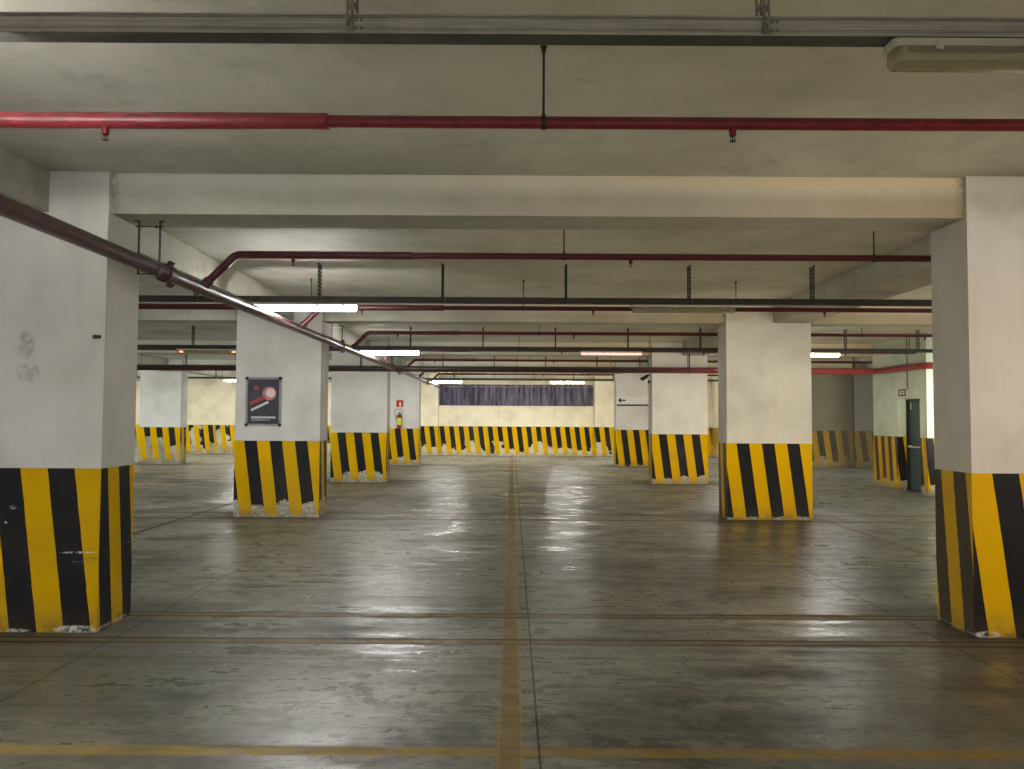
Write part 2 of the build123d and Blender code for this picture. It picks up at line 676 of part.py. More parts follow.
def cradle(across, level, bottom, top):
    """A flat steel strap bent into a U: under a pipe at level, up to top; across is the
    plan direction in which its two legs stand apart."""
    half_gap, half_strap, half_steel = STRAP_GAP / 2, STRAP_WIDTH / 2, STRAP_THICKNESS / 2
    with BuildPart() as strap:
        for side in (-1, 1):
            leg = (side * half_gap - half_steel, side * half_gap + half_steel)
            block(leg, (-half_strap, half_strap), (bottom - STRAP_THICKNESS - level, top - level))
        block((-half_gap, half_gap), (-half_strap, half_strap),
              (bottom - STRAP_THICKNESS - level, bottom - level))
    return strap.part if across == "X" else strap.part.rotate(Axis.Z, 90)


# Straps that carry the main from the beam of each row, the cross main from that of each line
CRADLES = {}
for y in ROWS:
    if MAIN_FRONT < y < MAIN_REAR:
        size = ("X", MAIN_Z, MAIN_Z - MAIN_RADIUS, BEAM_SOFFIT)
        CRADLES.setdefault(size, []).append((MAIN_X, y, MAIN_Z))
for line in LINES[:-1]:
    x, top = hung_from(line + CROSS_STRAP_PAST_LINE, STRAP_WIDTH / 2)
    size = ("Y", CROSS_Z, CROSS_Z - CROSS_MAIN_RADIUS, top)
    CRADLES.setdefault(size, []).append((x, CROSS_Y, CROSS_Z))

with BuildPart() as main_straps:
    for size, places in CRADLES.items():
        piece = cradle(*size)
        with Locations(places):
            add(piece)
write(main_straps.part, "main_pipe_straps")

# Lighting trunking across the car park, midway between the rows
TRUNKING_BOTTOM = SOFFIT - TRUNKING_DROP
TRUNKING_TOP = TRUNKING_BOTTOM + TRUNKING_HEIGHT
TRUNKING_ROWS = [(a + b) / 2 for a, b in zip(ROWS, ROWS[1:])]
with BuildPart() as trunking:
    for y in TRUNKING_ROWS:
        span = (-PIPE_END, right_end(y))
        block(span, (y - TRUNKING_WIDTH / 2, y + TRUNKING_WIDTH / 2), (TRUNKING_BOTTOM, TRUNKING_TOP))
        for side in (-1, 1):
            face = y + side * TRUNKING_WIDTH / 2
            groove = sorted((face, face - side * TRUNKING_RECESS))
            block(span, groove, (TRUNKING_BOTTOM + TRUNKING_LIP, TRUNKING_TOP - TRUNKING_LIP),
                  Mode.SUBTRACT)
write(trunking.part, "lighting_trunking")

HANGERS = []
for y, start in zip(TRUNKING_ROWS, HANGER_STARTS):
    for x in spread(start, HANGER_PITCH, -PIPE_END + HANGER_WIDTH, right_end(y) - HANGER_WIDTH):
        x, top = hung_from(x, HANGER_WIDTH / 2)
        for side in (-1, 1):
            face = y + side * TRUNKING_WIDTH / 2
            HANGERS.append(((x - HANGER_WIDTH / 2, x + HANGER_WIDTH / 2),
                            sorted((face, face + side * HANGER_THICKNESS)),
                            (TRUNKING_BOTTOM + TRUNKING_LIP, top)))
with BuildPart() as trunking_hangers:
    blocks(HANGERS)
write(trunking_hangers.part, "trunking_hangers")

# Light fittings under the trunking: housings, then covers that are lit, dark or fading
PLACES = [(bay, x, y) for bay, y in enumerate(TRUNKING_ROWS, start=1) for x in FITTING_X
          if x + FITTING_SHIFTS[bay - 1] + FITTING_LENGTH / 2 < right_end(y)]


def under_trunking(place, level):
    """Where a fitting hangs: some bays' fittings sit a little off the common places."""
    bay, x, y = place
    return x + FITTING_SHIFTS[bay - 1], y, level


HOUSING_BOTTOM = TRUNKING_BOTTOM - HOUSING_HEIGHT
with BuildPart() as housings:
    with Locations([under_trunking(place, TRUNKING_BOTTOM - HOUSING_HEIGHT / 2) for place in PLACES]):
        Box(FITTING_LENGTH, FITTING_WIDTH, HOUSING_HEIGHT)
write(housings.part, "light_housings")

# One cover: a trough with rounded lower edges, hanging from its own origin
with BuildPart() as cover:
    with Locations((0, 0, -COVER_HEIGHT / 2)):
        Box(COVER_LENGTH, COVER_WIDTH, COVER_HEIGHT)
    lower = cover.edges().filter_by(Axis.X).group_by(Axis.Z)[0]
    fillet(lower, radius=COVER_HEIGHT * COVER_ROUNDING)


def light_covers(name, chosen):
    """The covers of the chosen fittings, under their housings."""
    with BuildPart() as covers:
        with Locations([under_trunking(place, HOUSING_BOTTOM) for place in chosen]):
            add(cover.part)
    write(covers.part, name)


light_covers("lit_light_covers", [p for p in PLACES if p[:2] in LIT])
light_covers("fading_light_cover", [p for p in PLACES if p[:2] in FADING])
light_covers("dark_light_covers", [p for p in PLACES if p[:2] not in LIT | FADING])

# Fittings on the columns of the aisle
POSTER_FACE = ROWS[2] - COLUMN_DEPTH / 2
SIGN_FACE = ROWS[4] - COLUMN_DEPTH / 2
HOOK_FACE = ROWS[1] - COLUMN_DEPTH / 2
poster_x, poster_level = POSTER_CENTRE
poster_x += LINES[AISLE_LINE]
POSTER_Z = FLOOR_TOP + poster_level

with BuildPart() as poster_frame:
    with BuildSketch(Plane.XZ.offset(-POSTER_FACE)):
        with Locations((poster_x, POSTER_Z)):
            Rectangle(*POSTER)
            Rectangle(POSTER[0] - 2 * POSTER_PROFILE, POSTER[1] - 2 * POSTER_PROFILE, mode=Mode.SUBTRACT)
    extrude(amount=POSTER_DEPTH)
write(poster_frame.part, "poster_frame")

with BuildPart() as poster_panel:
    with BuildSketch(Plane.XZ.offset(-POSTER_FACE)):
        with Locations((poster_x, POSTER_Z)):
            Rectangle(POSTER[0] - 2 * POSTER_PROFILE, POSTER[1] - 2 * POSTER_PROFILE)
    extrude(amount=POSTER_DEPTH / 2)
write(poster_panel.part, "poster_panel")


def plate(name, x, y, level, size):
    """A thin flat plate on a wall that faces the front."""
    with BuildPart() as sheet:
        with BuildSketch(Plane.XZ.offset(-y)):
            with Locations((x, FLOOR_TOP + level)):
                Rectangle(*size)
        extrude(amount=SIGN_THICKNESS)
    write(sheet.part, name)


plate("extinguisher_sign", LINES[AISLE_LINE] + EXTINGUISHER_X, SIGN_FACE, EXTINGUISHER_SIGN_LEVEL,
      (EXTINGUISHER_SIGN, EXTINGUISHER_SIGN))
plate("direction_sign", LINES[AISLE_LINE + 1], SIGN_FACE, DIRECTION_SIGN_LEVEL, DIRECTION_SIGN)
BANNER_LEVEL = BEAM_SOFFIT - FLOOR_TOP - BANNER_BELOW_BEAM - BANNER_HEIGHT / 2
plate("wall_banner", BAY_CENTRES[AISLE_LINE], REAR_WALL_FRONT, BANNER_LEVEL,
      (LINE_PITCH - COLUMN_WIDTH - 2 * BANNER_MARGIN, BANNER_HEIGHT))

# Fire extinguisher on its bracket
CYLINDER_X = LINES[AISLE_LINE] + EXTINGUISHER_X
CYLINDER_Y = SIGN_FACE - BRACKET_DEPTH - EXTINGUISHER_RADIUS
CYLINDER_BOTTOM = FLOOR_TOP + EXTINGUISHER_LEVEL
CYLINDER_TOP = CYLINDER_BOTTOM + EXTINGUISHER_HEIGHT
with BuildPart() as extinguisher:
    with Locations((CYLINDER_X, CYLINDER_Y, (CYLINDER_BOTTOM + CYLINDER_TOP) / 2)):
        Cylinder(EXTINGUISHER_RADIUS, EXTINGUISHER_HEIGHT)
    fillet(extinguisher.edges().group_by(Axis.Z)[-1], radius=SHOULDER_ROUNDING)
    fillet(extinguisher.edges().group_by(Axis.Z)[0], radius=BASE_ROUNDING)
write(extinguisher.part, "extinguisher_cylinder")

LEVER_WIDTH, LEVER_LENGTH, LEVER_HEIGHT = LEVER
HOSE_LEVEL = CYLINDER_TOP + VALVE_HEIGHT / 2
with BuildPart() as valve:
    with Locations((CYLINDER_X, CYLINDER_Y, HOSE_LEVEL)):
        Cylinder(VALVE_RADIUS, VALVE_HEIGHT)
    with Locations((CYLINDER_X, CYLINDER_Y - LEVER_FORWARD, CYLINDER_TOP + VALVE_HEIGHT + LEVER_HEIGHT / 2)):
        Box(LEVER_WIDTH, LEVER_LENGTH, LEVER_HEIGHT)
    with Locations(Location((CYLINDER_X + HOSE_OUTLET_REACH / 2, CYLINDER_Y, HOSE_LEVEL), (0, 90, 0))):
        Cylinder(HOSE_OUTLET_RADIUS, HOSE_OUTLET_REACH)
write(valve.part, "extinguisher_valve")

with BuildPart() as bracket:
    block((CYLINDER_X - BRACKET_WIDTH / 2, CYLINDER_X + BRACKET_WIDTH / 2),
          (SIGN_FACE - BRACKET_DEPTH, SIGN_FACE),
          (CYLINDER_BOTTOM + BRACKET_FROM_BASE, CYLINDER_TOP - BRACKET_FROM_TOP))
write(bracket.part, "extinguisher_bracket")

# Its hose: out of the valve, in an arch over it, and down into a clip that holds the nozzle
HOSE_OUT_X = CYLINDER_X - EXTINGUISHER_RADIUS - HOSE_STAND_OFF
CLIP_Z = CYLINDER_BOTTOM + HOSE_CLIP_LEVEL
NOZZLE_X = CYLINDER_X - EXTINGUISHER_RADIUS - NOZZLE_RADIUS
ARCH_Z = HOSE_LEVEL + HOSE_ARCH_RISE
with BuildPart() as hose:
    with BuildLine() as hose_route:
        FilletPolyline((CYLINDER_X + HOSE_OUTLET_REACH, CYLINDER_Y, HOSE_LEVEL),
                       (CYLINDER_X + HOSE_FAR_OUT, CYLINDER_Y, HOSE_LEVEL),
                       (CYLINDER_X + HOSE_FAR_OUT, CYLINDER_Y, ARCH_Z),
                       (HOSE_OUT_X, CYLINDER_Y, ARCH_Z),
                       (HOSE_OUT_X, CYLINDER_Y, CLIP_Z + HOSE_ABOVE_CLIP),
                       (NOZZLE_X, CYLINDER_Y, CLIP_Z),
                       radius=(HOSE_OUTLET_BEND, HOSE_ARCH_BEND, HOSE_ARCH_BEND, HOSE_LOWER_BEND))
    with BuildSketch(Plane(hose_route.line @ 0, z_dir=hose_route.line % 0)):
        Circle(HOSE_RADIUS)
    sweep(path=hose_route.line)
    with Locations((NOZZLE_X, CYLINDER_Y, CLIP_Z - NOZZLE_LENGTH / 2)):
        Cylinder(NOZZLE_RADIUS, NOZZLE_LENGTH)
    block((NOZZLE_X, CYLINDER_X - EXTINGUISHER_RADIUS),
          (CYLINDER_Y - HOSE_RADIUS, CYLINDER_Y + HOSE_RADIUS), (CLIP_Z - HOSE_CLIP_HEIGHT, CLIP_Z))
write(hose.part, "extinguisher_hose")

# Security camera on the inner side of a column, and a cable hook on the nearest one
CAMERA_FACE = LINES[AISLE_LINE + 1] - COLUMN_WIDTH / 2
CAMERA_Z = FLOOR_TOP + CAMERA_LEVEL
CAMERA_Y = ROWS[3]
with BuildPart() as security_camera:
    with Locations((CAMERA_FACE - CAMERA_PLATE_THICKNESS / 2, CAMERA_Y, CAMERA_Z)):
        Box(CAMERA_PLATE_THICKNESS, CAMERA_PLATE, CAMERA_PLATE)
    with Locations((CAMERA_FACE - CAMERA_OFF_WALL / 2, CAMERA_Y, CAMERA_Z)):
        Box(CAMERA_OFF_WALL, CAMERA_ARM, CAMERA_ARM)
    with Locations(Plane((CAMERA_FACE - CAMERA_OFF_WALL, CAMERA_Y, CAMERA_Z), z_dir=CAMERA_AIM)):
        Cylinder(CAMERA_RADIUS, CAMERA_LENGTH)
write(security_camera.part, "security_camera")

HOOK_WIDTH, HOOK_DEPTH, HOOK_HEIGHT = HOOK
with BuildPart() as cable_hook:
    with Locations((LINES[AISLE_LINE] + HOOK_X, HOOK_FACE - HOOK_DEPTH / 2, FLOOR_TOP + HOOK_LEVEL)):
        Box(HOOK_WIDTH, HOOK_DEPTH, HOOK_HEIGHT)
write(cable_hook.part, "cable_hook")
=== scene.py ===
# %% [markdown]
# # An underground car park, dressed in Blender
#
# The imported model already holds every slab, column, beam, wall, pipe and fitting at its real
# size. This script never moves or resizes them. It adds what a builder, a painter and an
# electrician leave behind: leaning stripes, worn paint, saw-cut joints, slotted straps, bolts,
# clips, lamps that glow, a wrinkled banner. All numbers are metres, with +Z up and +Y into the
# depth of the car park.

# %% Load the frame
import math

import bmesh
import bpy
import numpy as np
from mathutils import Matrix, Vector


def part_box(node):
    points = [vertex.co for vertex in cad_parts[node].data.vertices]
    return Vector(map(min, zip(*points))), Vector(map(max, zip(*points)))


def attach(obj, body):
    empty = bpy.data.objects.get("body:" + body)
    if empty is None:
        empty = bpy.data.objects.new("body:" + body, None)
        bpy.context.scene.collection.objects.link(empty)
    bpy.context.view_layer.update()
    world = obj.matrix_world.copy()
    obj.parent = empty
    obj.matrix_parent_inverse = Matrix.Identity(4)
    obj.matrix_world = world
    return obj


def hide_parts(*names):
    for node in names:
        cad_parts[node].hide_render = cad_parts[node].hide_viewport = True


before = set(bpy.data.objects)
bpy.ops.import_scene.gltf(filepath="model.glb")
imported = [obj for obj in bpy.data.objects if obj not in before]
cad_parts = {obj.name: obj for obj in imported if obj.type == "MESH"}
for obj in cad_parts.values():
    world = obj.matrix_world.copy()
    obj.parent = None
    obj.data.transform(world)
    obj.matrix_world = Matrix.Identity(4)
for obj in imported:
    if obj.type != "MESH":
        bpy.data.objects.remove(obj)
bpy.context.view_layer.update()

# %% [markdown]
# The frame can be measured, so no size has to be written twice. A node such as the hangers
# holds many separate solids in one mesh. Its triangles don't share corners, so corners at the
# same place are counted as one first, and then every solid is the set of triangles that can be
# reached from each other. The lowest label wins and spreads until nothing changes.


# %% Find the separate solids of a node
def solids(node):
    """The box of each separate solid in a CAD node: a list of (lowest, highest) corners."""
    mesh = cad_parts[node].data
    places = np.empty(len(mesh.vertices) * 3)
    mesh.vertices.foreach_get("co", places)
    places = places.reshape(-1, 3)
    corners = np.empty(len(mesh.loops), dtype=int)
    mesh.loops.foreach_get("vertex_index", corners)
    _, same = np.unique(np.round(places, 4), axis=0, return_inverse=True)
    triangles = same.reshape(-1)[corners].reshape(-1, 3)
    label = np.arange(same.max() + 1)
    while True:
        spread = label.copy()
        np.minimum.at(spread, triangles.ravel(), np.repeat(label[triangles].min(axis=1), 3))
        spread = spread[spread]
        if (spread == label).all():
            break
        label = spread
    owner = label[same.reshape(-1)]
    return [(Vector(places[owner == one].min(axis=0)), Vector(places[owner == one].max(axis=0)))
            for one in np.unique(owner)]


def centre(box):
    return (box[0] + box[1]) / 2


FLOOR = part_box("floor_slab")[1][2]
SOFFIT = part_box("roof_slab")[0][2]
BEAM_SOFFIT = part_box("cross_beams")[0][2]
LINES = sorted(centre(box).x for box in solids("columns_row_2"))
ROW_NODES = [f"columns_row_{i}" for i in range(1, 6)] + ["rear_wall_pilasters"]
ROWS = [centre(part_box(node)).y for node in ROW_NODES]
LINE_PITCH = LINES[1] - LINES[0]
ROW_PITCH = ROWS[1] - ROWS[0]
column = solids("columns_row_2")[0]
COLUMN_WIDTH = column[1].x - column[0].x
COLUMN_DEPTH = column[1].y - column[0].y
print("column lines", [round(x, 3) for x in LINES], "rows", [round(y, 3) for y in ROWS])

# %% [markdown]
# The camera comes first, because it decides how much detail each piece needs. The photograph
# was taken at eye height in the middle of a lane, almost level and turned by a third of a
# degree. A lens in millimetres on a 36 mm wide sensor follows from the focal length in pixels.

# %% Camera
PHOTO_WIDTH = 1024
FOCAL_PIXELS = 770
SENSOR_WIDTH = 36.0
EYE = Vector((3.715, -15.728, FLOOR + 1.60))
TILT_UP = math.radians(2.41)
ROLL = math.radians(0.32)

lens = bpy.data.cameras.new("viewpoint")
lens.sensor_width = SENSOR_WIDTH
lens.lens = FOCAL_PIXELS / PHOTO_WIDTH * SENSOR_WIDTH
lens.clip_start = 0.05
lens.clip_end = 400
camera = bpy.data.objects.new("viewpoint", lens)
bpy.context.collection.objects.link(camera)
level = Matrix.Rotation(math.pi / 2 + TILT_UP, 4, "X")
camera.matrix_world = Matrix.Translation(EYE) @ level @ Matrix.Rotation(ROLL, 4, "Z")
bpy.context.scene.camera = camera
bpy.context.scene.view_settings.view_transform = "Standard"
print("lens", round(lens.lens, 2), "mm")

# %% [markdown]
# Shader nodes are easier to read as sums than as wires. A Field stands for a value that changes
# over a surface, which is what a node's output carries. Python's own signs work on fields: each
# + - * / adds one Math node to the tree that the field lives in, and returns its result.


# %% Sums on fields
class Field:
    """A value all over a surface: the output socket that carries it."""

    def __init__(self, socket):
        self.socket = socket

    def __add__(self, other):
        return calculated("ADD", self, other)

    def __sub__(self, other):
        return calculated("SUBTRACT", self, other)

    def __rsub__(self, other):
        return calculated("SUBTRACT", other, self)

    def __mul__(self, other):
        return calculated("MULTIPLY", self, other)

    def __truediv__(self, other):
        return calculated("DIVIDE", self, other)

    def __neg__(self):
        return self * -1.0

    def __abs__(self):
        return calculated("ABSOLUTE", self)

    __radd__, __rmul__ = __add__, __mul__


class Inputs:
    """The inputs of a node: inputs[name] = value links a field or sets a plain value."""

    def __init__(self, node):
        self.sockets = node.inputs

    def __setitem__(self, name, value):
        if isinstance(value, Field):
            value.socket.id_data.links.new(value.socket, self.sockets[name])
        else:
            self.sockets[name].default_value = value


def outputs(node):
    """The outputs of a node as fields, by name."""
    return {socket.name: Field(socket) for socket in node.outputs}


def added(kind, given, **settings):
    """A new node, placed in the tree of the first field among the given inputs."""
    tree = next(value for value in given.values() if isinstance(value, Field)).socket.id_data
    made = tree.nodes.new(kind)
    for name, value in settings.items():
        setattr(made, name, value)
    inputs = Inputs(made)
    for name, value in given.items():
        inputs[name] = value
    return made


def calculated(operation, *values):
    return Field(added("ShaderNodeMath", dict(enumerate(values)), operation=operation).outputs[0])


def largest(first, *others):
    for other in others:
        first = calculated("MAXIMUM", first, other)
    return first


def root(value):
    return calculated("SQRT", value)


def wrap(value, high, low):
    """Counts on in a circle: past high it starts again at low."""
    return calculated("WRAP", value, high, low)


def pingpong(value, top):
    """Goes up to top and back down to 0, again and again."""
    return calculated("PINGPONG", value, top)


# %% [markdown]
# The other nodes that this scene needs are short functions too. A smooth step turns a distance
# into a soft edge, a mix lays one colour over another, and noise is the source of all that
# looks uneven.


# %% Steps, mixes and noise
def rise(value, low, high, bottom=0.0, top=1.0):
    """Goes smoothly from bottom to top as value goes from low to high."""
    given = {"Value": value, "From Min": low, "From Max": high, "To Min": bottom, "To Max": top}
    return Field(added("ShaderNodeMapRange", given, interpolation_type="SMOOTHSTEP").outputs["Result"])


def fall(value, low, high):
    return rise(value, low, high, 1.0, 0.0)


def blend(share, first, second):
    """A colour that goes from first to second as share goes from 0 to 1."""
    factor, upper, lower = 0, 6, 7
    given = {factor: share, upper: first, lower: second}
    return Field(added("ShaderNodeMix", given, data_type="RGBA").outputs[2])


def noise(place, scale, detail=2.0, roughness=0.5, stretch=None):
    if stretch:
        place = Field(added("ShaderNodeMapping", {"Vector": place, "Scale": stretch}).outputs[0])
    given = {"Vector": place, "Scale": scale, "Detail": detail, "Roughness": roughness}
    return Field(added("ShaderNodeTexNoise", given).outputs[0])


def split(vector):
    """The x, y and z of a vector."""
    return [Field(socket) for socket in added("ShaderNodeSeparateXYZ", {0: vector}).outputs]


def use(group, **values):
    """Places a node group, and returns its outputs by name."""
    return outputs(added("ShaderNodeGroup", values, node_tree=group))


def bump(height, distance, strength=1.0):
    given = {"Height": height, "Distance": distance, "Strength": strength}
    return Field(added("ShaderNodeBump", given).outputs[0])


def srgb(red, green, blue):
    """A colour as a screen shows it, 0 to 255, turned into the linear values of a shader."""
    def linear(value):
        value /= 255
        return value / 12.92 if value <= 0.04045 else ((value + 0.055) / 1.055) ** 2.4
    return linear(red), linear(green), linear(blue), 1.0


def darker(colour, share):
    return [value * share for value in colour[:3]] + [1.0]


def material(name, colour=(0.5, 0.5, 0.5, 1.0), roughness=0.5, metallic=0.0):
    """A new material: returns it with its shader's inputs and the fields of a point's place."""
    made = bpy.data.materials.new(name)
    made.use_nodes = True
    shader = Inputs(made.node_tree.nodes["Principled BSDF"])
    shader["Base Color"] = colour
    shader["Roughness"] = roughness
    shader["Metallic"] = metallic
    return made, shader, outputs(made.node_tree.nodes.new("ShaderNodeTexCoord"))


def wear(made, *nodes):
    """Gives CAD nodes their finish."""
    for node in nodes:
        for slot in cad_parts[node].material_slots:
            slot.material = made


# %% [markdown]
# Effects that several finishes share are node groups: built once, with named inputs, and
# placed in each material with its own values. They put out masks and heights only.


# %% An empty effect
def effect(name, defaults, results):
    """A node group with named inputs and outputs: returns it with the fields and inputs inside."""
    tree = bpy.data.node_groups.new(name, "ShaderNodeTree")
    for label, default in defaults.items():
        kind = "NodeSocketVector" if default is None else "NodeSocketFloat"
        socket = tree.interface.new_socket(name=label, in_out="INPUT", socket_type=kind)
        if default is not None:
            socket.default_value = default
    for label in results:
        tree.interface.new_socket(name=label, in_out="OUTPUT", socket_type="NodeSocketFloat")
    return tree, outputs(tree.nodes.new("NodeGroupInput")), Inputs(tree.nodes.new("NodeGroupOutput"))


# %% [markdown]
# ## Leaning stripes
# Painters mark the band with tape, so each stripe is straight, but its edge wanders by a few
# millimetres where paint crept under. The stripes lean: on the way down they move to the right
# of whoever faces the wall. The group takes how far across and up a point is, moves it back to
# where its stripe meets the top of the band, and asks how far into one pitch that is.

# %% Stripe effect
BAND_HEIGHT = 1.20
STRIPE_SOFTNESS = 0.003
STRIPE_WANDER = 0.010

stripes, given, result = effect("leaning stripes",
                                {"Place": None, "Across": 0.0, "Up": 0.0, "Start": 0.0, "Pitch": 0.4,
                                 "Black": 0.2, "Lean": 0.13}, ["Black"])
wander = (noise(given["Place"], 7.0, 2.0) - 0.5) * STRIPE_WANDER
drop = BAND_HEIGHT - given["Up"]
at_top = given["Across"] - drop * given["Lean"]
into = wrap(at_top - given["Start"] + wander, given["Pitch"], 0.0)
entered = rise(into, 0.0, STRIPE_SOFTNESS)
left = fall(into, given["Black"], given["Black"] + STRIPE_SOFTNESS)
result["Black"] = entered * left

# %% [markdown]
# ## Flaked paint
# Water and mops lift the enamel from the floor upwards, and it comes off in scales. A slow
# noise sets how high the loss reaches at each place, a fast one gives the ragged edge, and a
# third one takes single chips out of the sound paint above.

# %% Flaking effect
flaking, given, result = effect("flaked paint", {"Place": None, "Up": 0.0, "Reach": 0.1, "Chips": 0.0},
                                ["Bare"])
slow = noise(given["Place"], 1.7, 3.0, 0.58)
limit = given["Reach"] * (slow - 0.26) * 3.4
ragged = (noise(given["Place"], 26.0, 4.0, 0.7) - 0.5) * 0.26
spread_up = ragged * (0.25 + given["Reach"] * 2.0)
lost = fall(given["Up"] + spread_up, limit, limit + 0.006)
chip = noise(given["Place"], 17.0, 3.0, 0.6)
chip_limit = 0.8 - given["Chips"] * 0.3
chips = rise(chip, chip_limit, chip_limit + 0.02)
result["Bare"] = largest(lost, chips)

# %% [markdown]
# ## Grime
# Three kinds together: a broad unevenness, faint runs that follow the water down, and splashes
# thrown up from the floor.

# %% Grime effect
grime, given, result = effect("grime", {"Place": None, "Up": 0.0, "Splash": 0.3}, ["Grime", "Runs"])
broad = rise(noise(given["Place"], 0.9, 3.0, 0.6), 0.42, 0.75)
runs = rise(noise(given["Place"], 1.0, 2.0, 0.6, stretch=(9.0, 9.0, 0.5)), 0.5, 0.8)
thrown = rise(noise(given["Place"], 22.0, 4.0, 0.7), 0.38, 0.72)
low = fall(given["Up"], 0.0, given["Splash"])
result["Grime"] = largest(broad * 0.55, thrown * low)
result["Runs"] = runs

# %% [markdown]
# ## Roller texture
# Wall paint put on with a roller has a fine orange-peel skin over the slow waves that a
# plasterer leaves. Both go to a Bump node, in true size: 3 mm pits and waves of a few
# decimetres.

# %% Roller effect
roller, given, result = effect("roller texture", {"Place": None}, ["Height"])
peel = noise(given["Place"], 330.0, 0.0)
waves = noise(given["Place"], 5.0, 1.0)
result["Height"] = peel * 0.25 + waves * 1.0
print("effects", [tree.name for tree in bpy.data.node_groups])

# %% [markdown]
# ## Painted walls and columns
# One function makes every striped wall finish. It needs to know which way a face looks, because
# the stripes run round the corners: the distance across is measured to the right of whoever
# faces the wall, which is the cross product of the face's normal with the place. On columns the
# place is first wrapped to the column's own middle, so that all columns are painted alike.
# Stripes on the narrow sides are closer than those on the wide faces.

# %% Striped wall finish
WALL_WHITE = srgb(206, 203, 196)
WALL_CREAM = srgb(226, 216, 186)
STRIPE_YELLOW = srgb(207, 163, 0)
STRIPE_BLACK = srgb(30, 30, 32)
UNDERCOAT = srgb(205, 202, 190)
# Grey-brown of wall dirt, also laid on the store walls as painted shade
WALL_DIRT_AND_SHADE = srgb(112, 106, 90)
CRUST = srgb(150, 141, 118)
FOOT_DIRT = srgb(74, 62, 42)
DAMP_CRUST = srgb(122, 121, 94)
# Brown of dirt and painted shade where the beams meet the columns
BEAM_DIRT_AND_SHADE = srgb(138, 116, 88)
PALE_YELLOW, PALE_BLACK, SPECK = srgb(196, 160, 60), srgb(54, 53, 55), srgb(150, 146, 134)
# Painted shade on right-hand sides, and painted shadow in the far right corner
SIDE_SHADE_BROWN, CORNER_SHADOW_GREY = srgb(116, 102, 74), srgb(92, 88, 70)
CONCRETE_TONES = srgb(164, 161, 152), srgb(134, 131, 122)
RIGHT_SIDE = (3.0, 7.0)
CORNER_X, CORNER_Y = (14.0, 14.8), (8.5, 9.2)
FRONT_STRIPE = {"start": 0.275, "pitch": 0.40, "black": 0.20, "lean": 0.129}
SIDE_STRIPE = {"start": -0.325, "pitch": 0.33, "black": 0.165, "lean": 0.100}
FAR_LEFT_REACH = 0.60
YELLOW_REACH, YELLOW_CHIPS = 0.18, 0.30
OUTER_X, OUTER_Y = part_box("floor_slab")[1][:2]


def to_column(x, y):
    """The place on a plan, counted from the middle of the nearest column."""
    return (wrap(x - LINES[0], LINE_PITCH / 2, -LINE_PITCH / 2),
            wrap(y - ROWS[0], ROW_PITCH / 2, -ROW_PITCH / 2))


def striped(place, up, side, across, start):
    """1 on the black stripes and 0 on the yellow ones."""
    values = {key: rise(side, 0.0, 1.0, front, SIDE_STRIPE[key]) for key, front in FRONT_STRIPE.items()}
    if start is not None:
        values["start"] = rise(side, 0.0, 1.0, start, SIDE_STRIPE["start"])
    return use(stripes, Place=place, Across=across, Up=up, Start=values["start"], Pitch=values["pitch"],
               Black=values["black"], Lean=values["lean"])["Black"]


def band_colour(place, up, black, bare, worse, patchy, crust):
    """The band: enamel with specks, and a crust of lime and dirt where the enamel is gone."""
    worn_yellow = blend(fall(up, 0.0, 0.35) * 0.35, STRIPE_YELLOW, PALE_YELLOW)
    worn_black = blend(patchy * 0.35, STRIPE_BLACK, PALE_BLACK)
    painted = blend(black, worn_yellow, worn_black)
    specks = rise(noise(place, 75.0, 1.0, 0.7), 0.72, 0.75)
    painted = blend(specks * 0.55, painted, SPECK)
    crust = blend(rise(noise(place, 24.0, 4.0, 0.75), 0.35, 0.62), UNDERCOAT, crust)
    crust = blend(worse * rise(patchy, 0.35, 0.65) * 0.75, crust, DAMP_CRUST)
    return blend(bare, painted, crust)


def dirtied_and_shaded(colour, place, up, side, painted_shade):
    """Foot dirt; painted shade on the store, on right-hand sides and in the far right corner; dirt and
    painted shade at beam level.
    """
    x, y, z = split(place)
    foot = fall(up, 0.0, 0.22) * rise(noise(place, 9.0, 3.0, 0.7), 0.3, 0.65)
    colour = blend(foot * 0.45, colour, FOOT_DIRT)
    # Painted shade: the share given for the store walls
    colour = blend(painted_shade, colour, WALL_DIRT_AND_SHADE)
    # Painted shade, brown, on the side faces to the right of the lane
    colour = blend(side * rise(x, *RIGHT_SIDE) * 0.25, colour, SIDE_SHADE_BROWN)
    # Painted shadow on the faces in the far right corner, which stand in shade
    painted_corner_shadow = rise(x, *CORNER_X) * rise(y, *CORNER_Y)
    colour = blend(painted_corner_shadow * 0.78, colour, CORNER_SHADOW_GREY)
    # Dirt and painted shade on the columns at the level of the beams, to the right
    under_beam = fall(abs(z - (BEAM_SOFFIT + 0.1)), 0.03, 0.15)
    beam_dirt_and_shade = under_beam * rise(x, *RIGHT_SIDE) * rise(noise(place, 6.0, 3.0, 0.65), 0.15, 0.65)
    return blend(beam_dirt_and_shade * 0.32, colour, BEAM_DIRT_AND_SHADE)


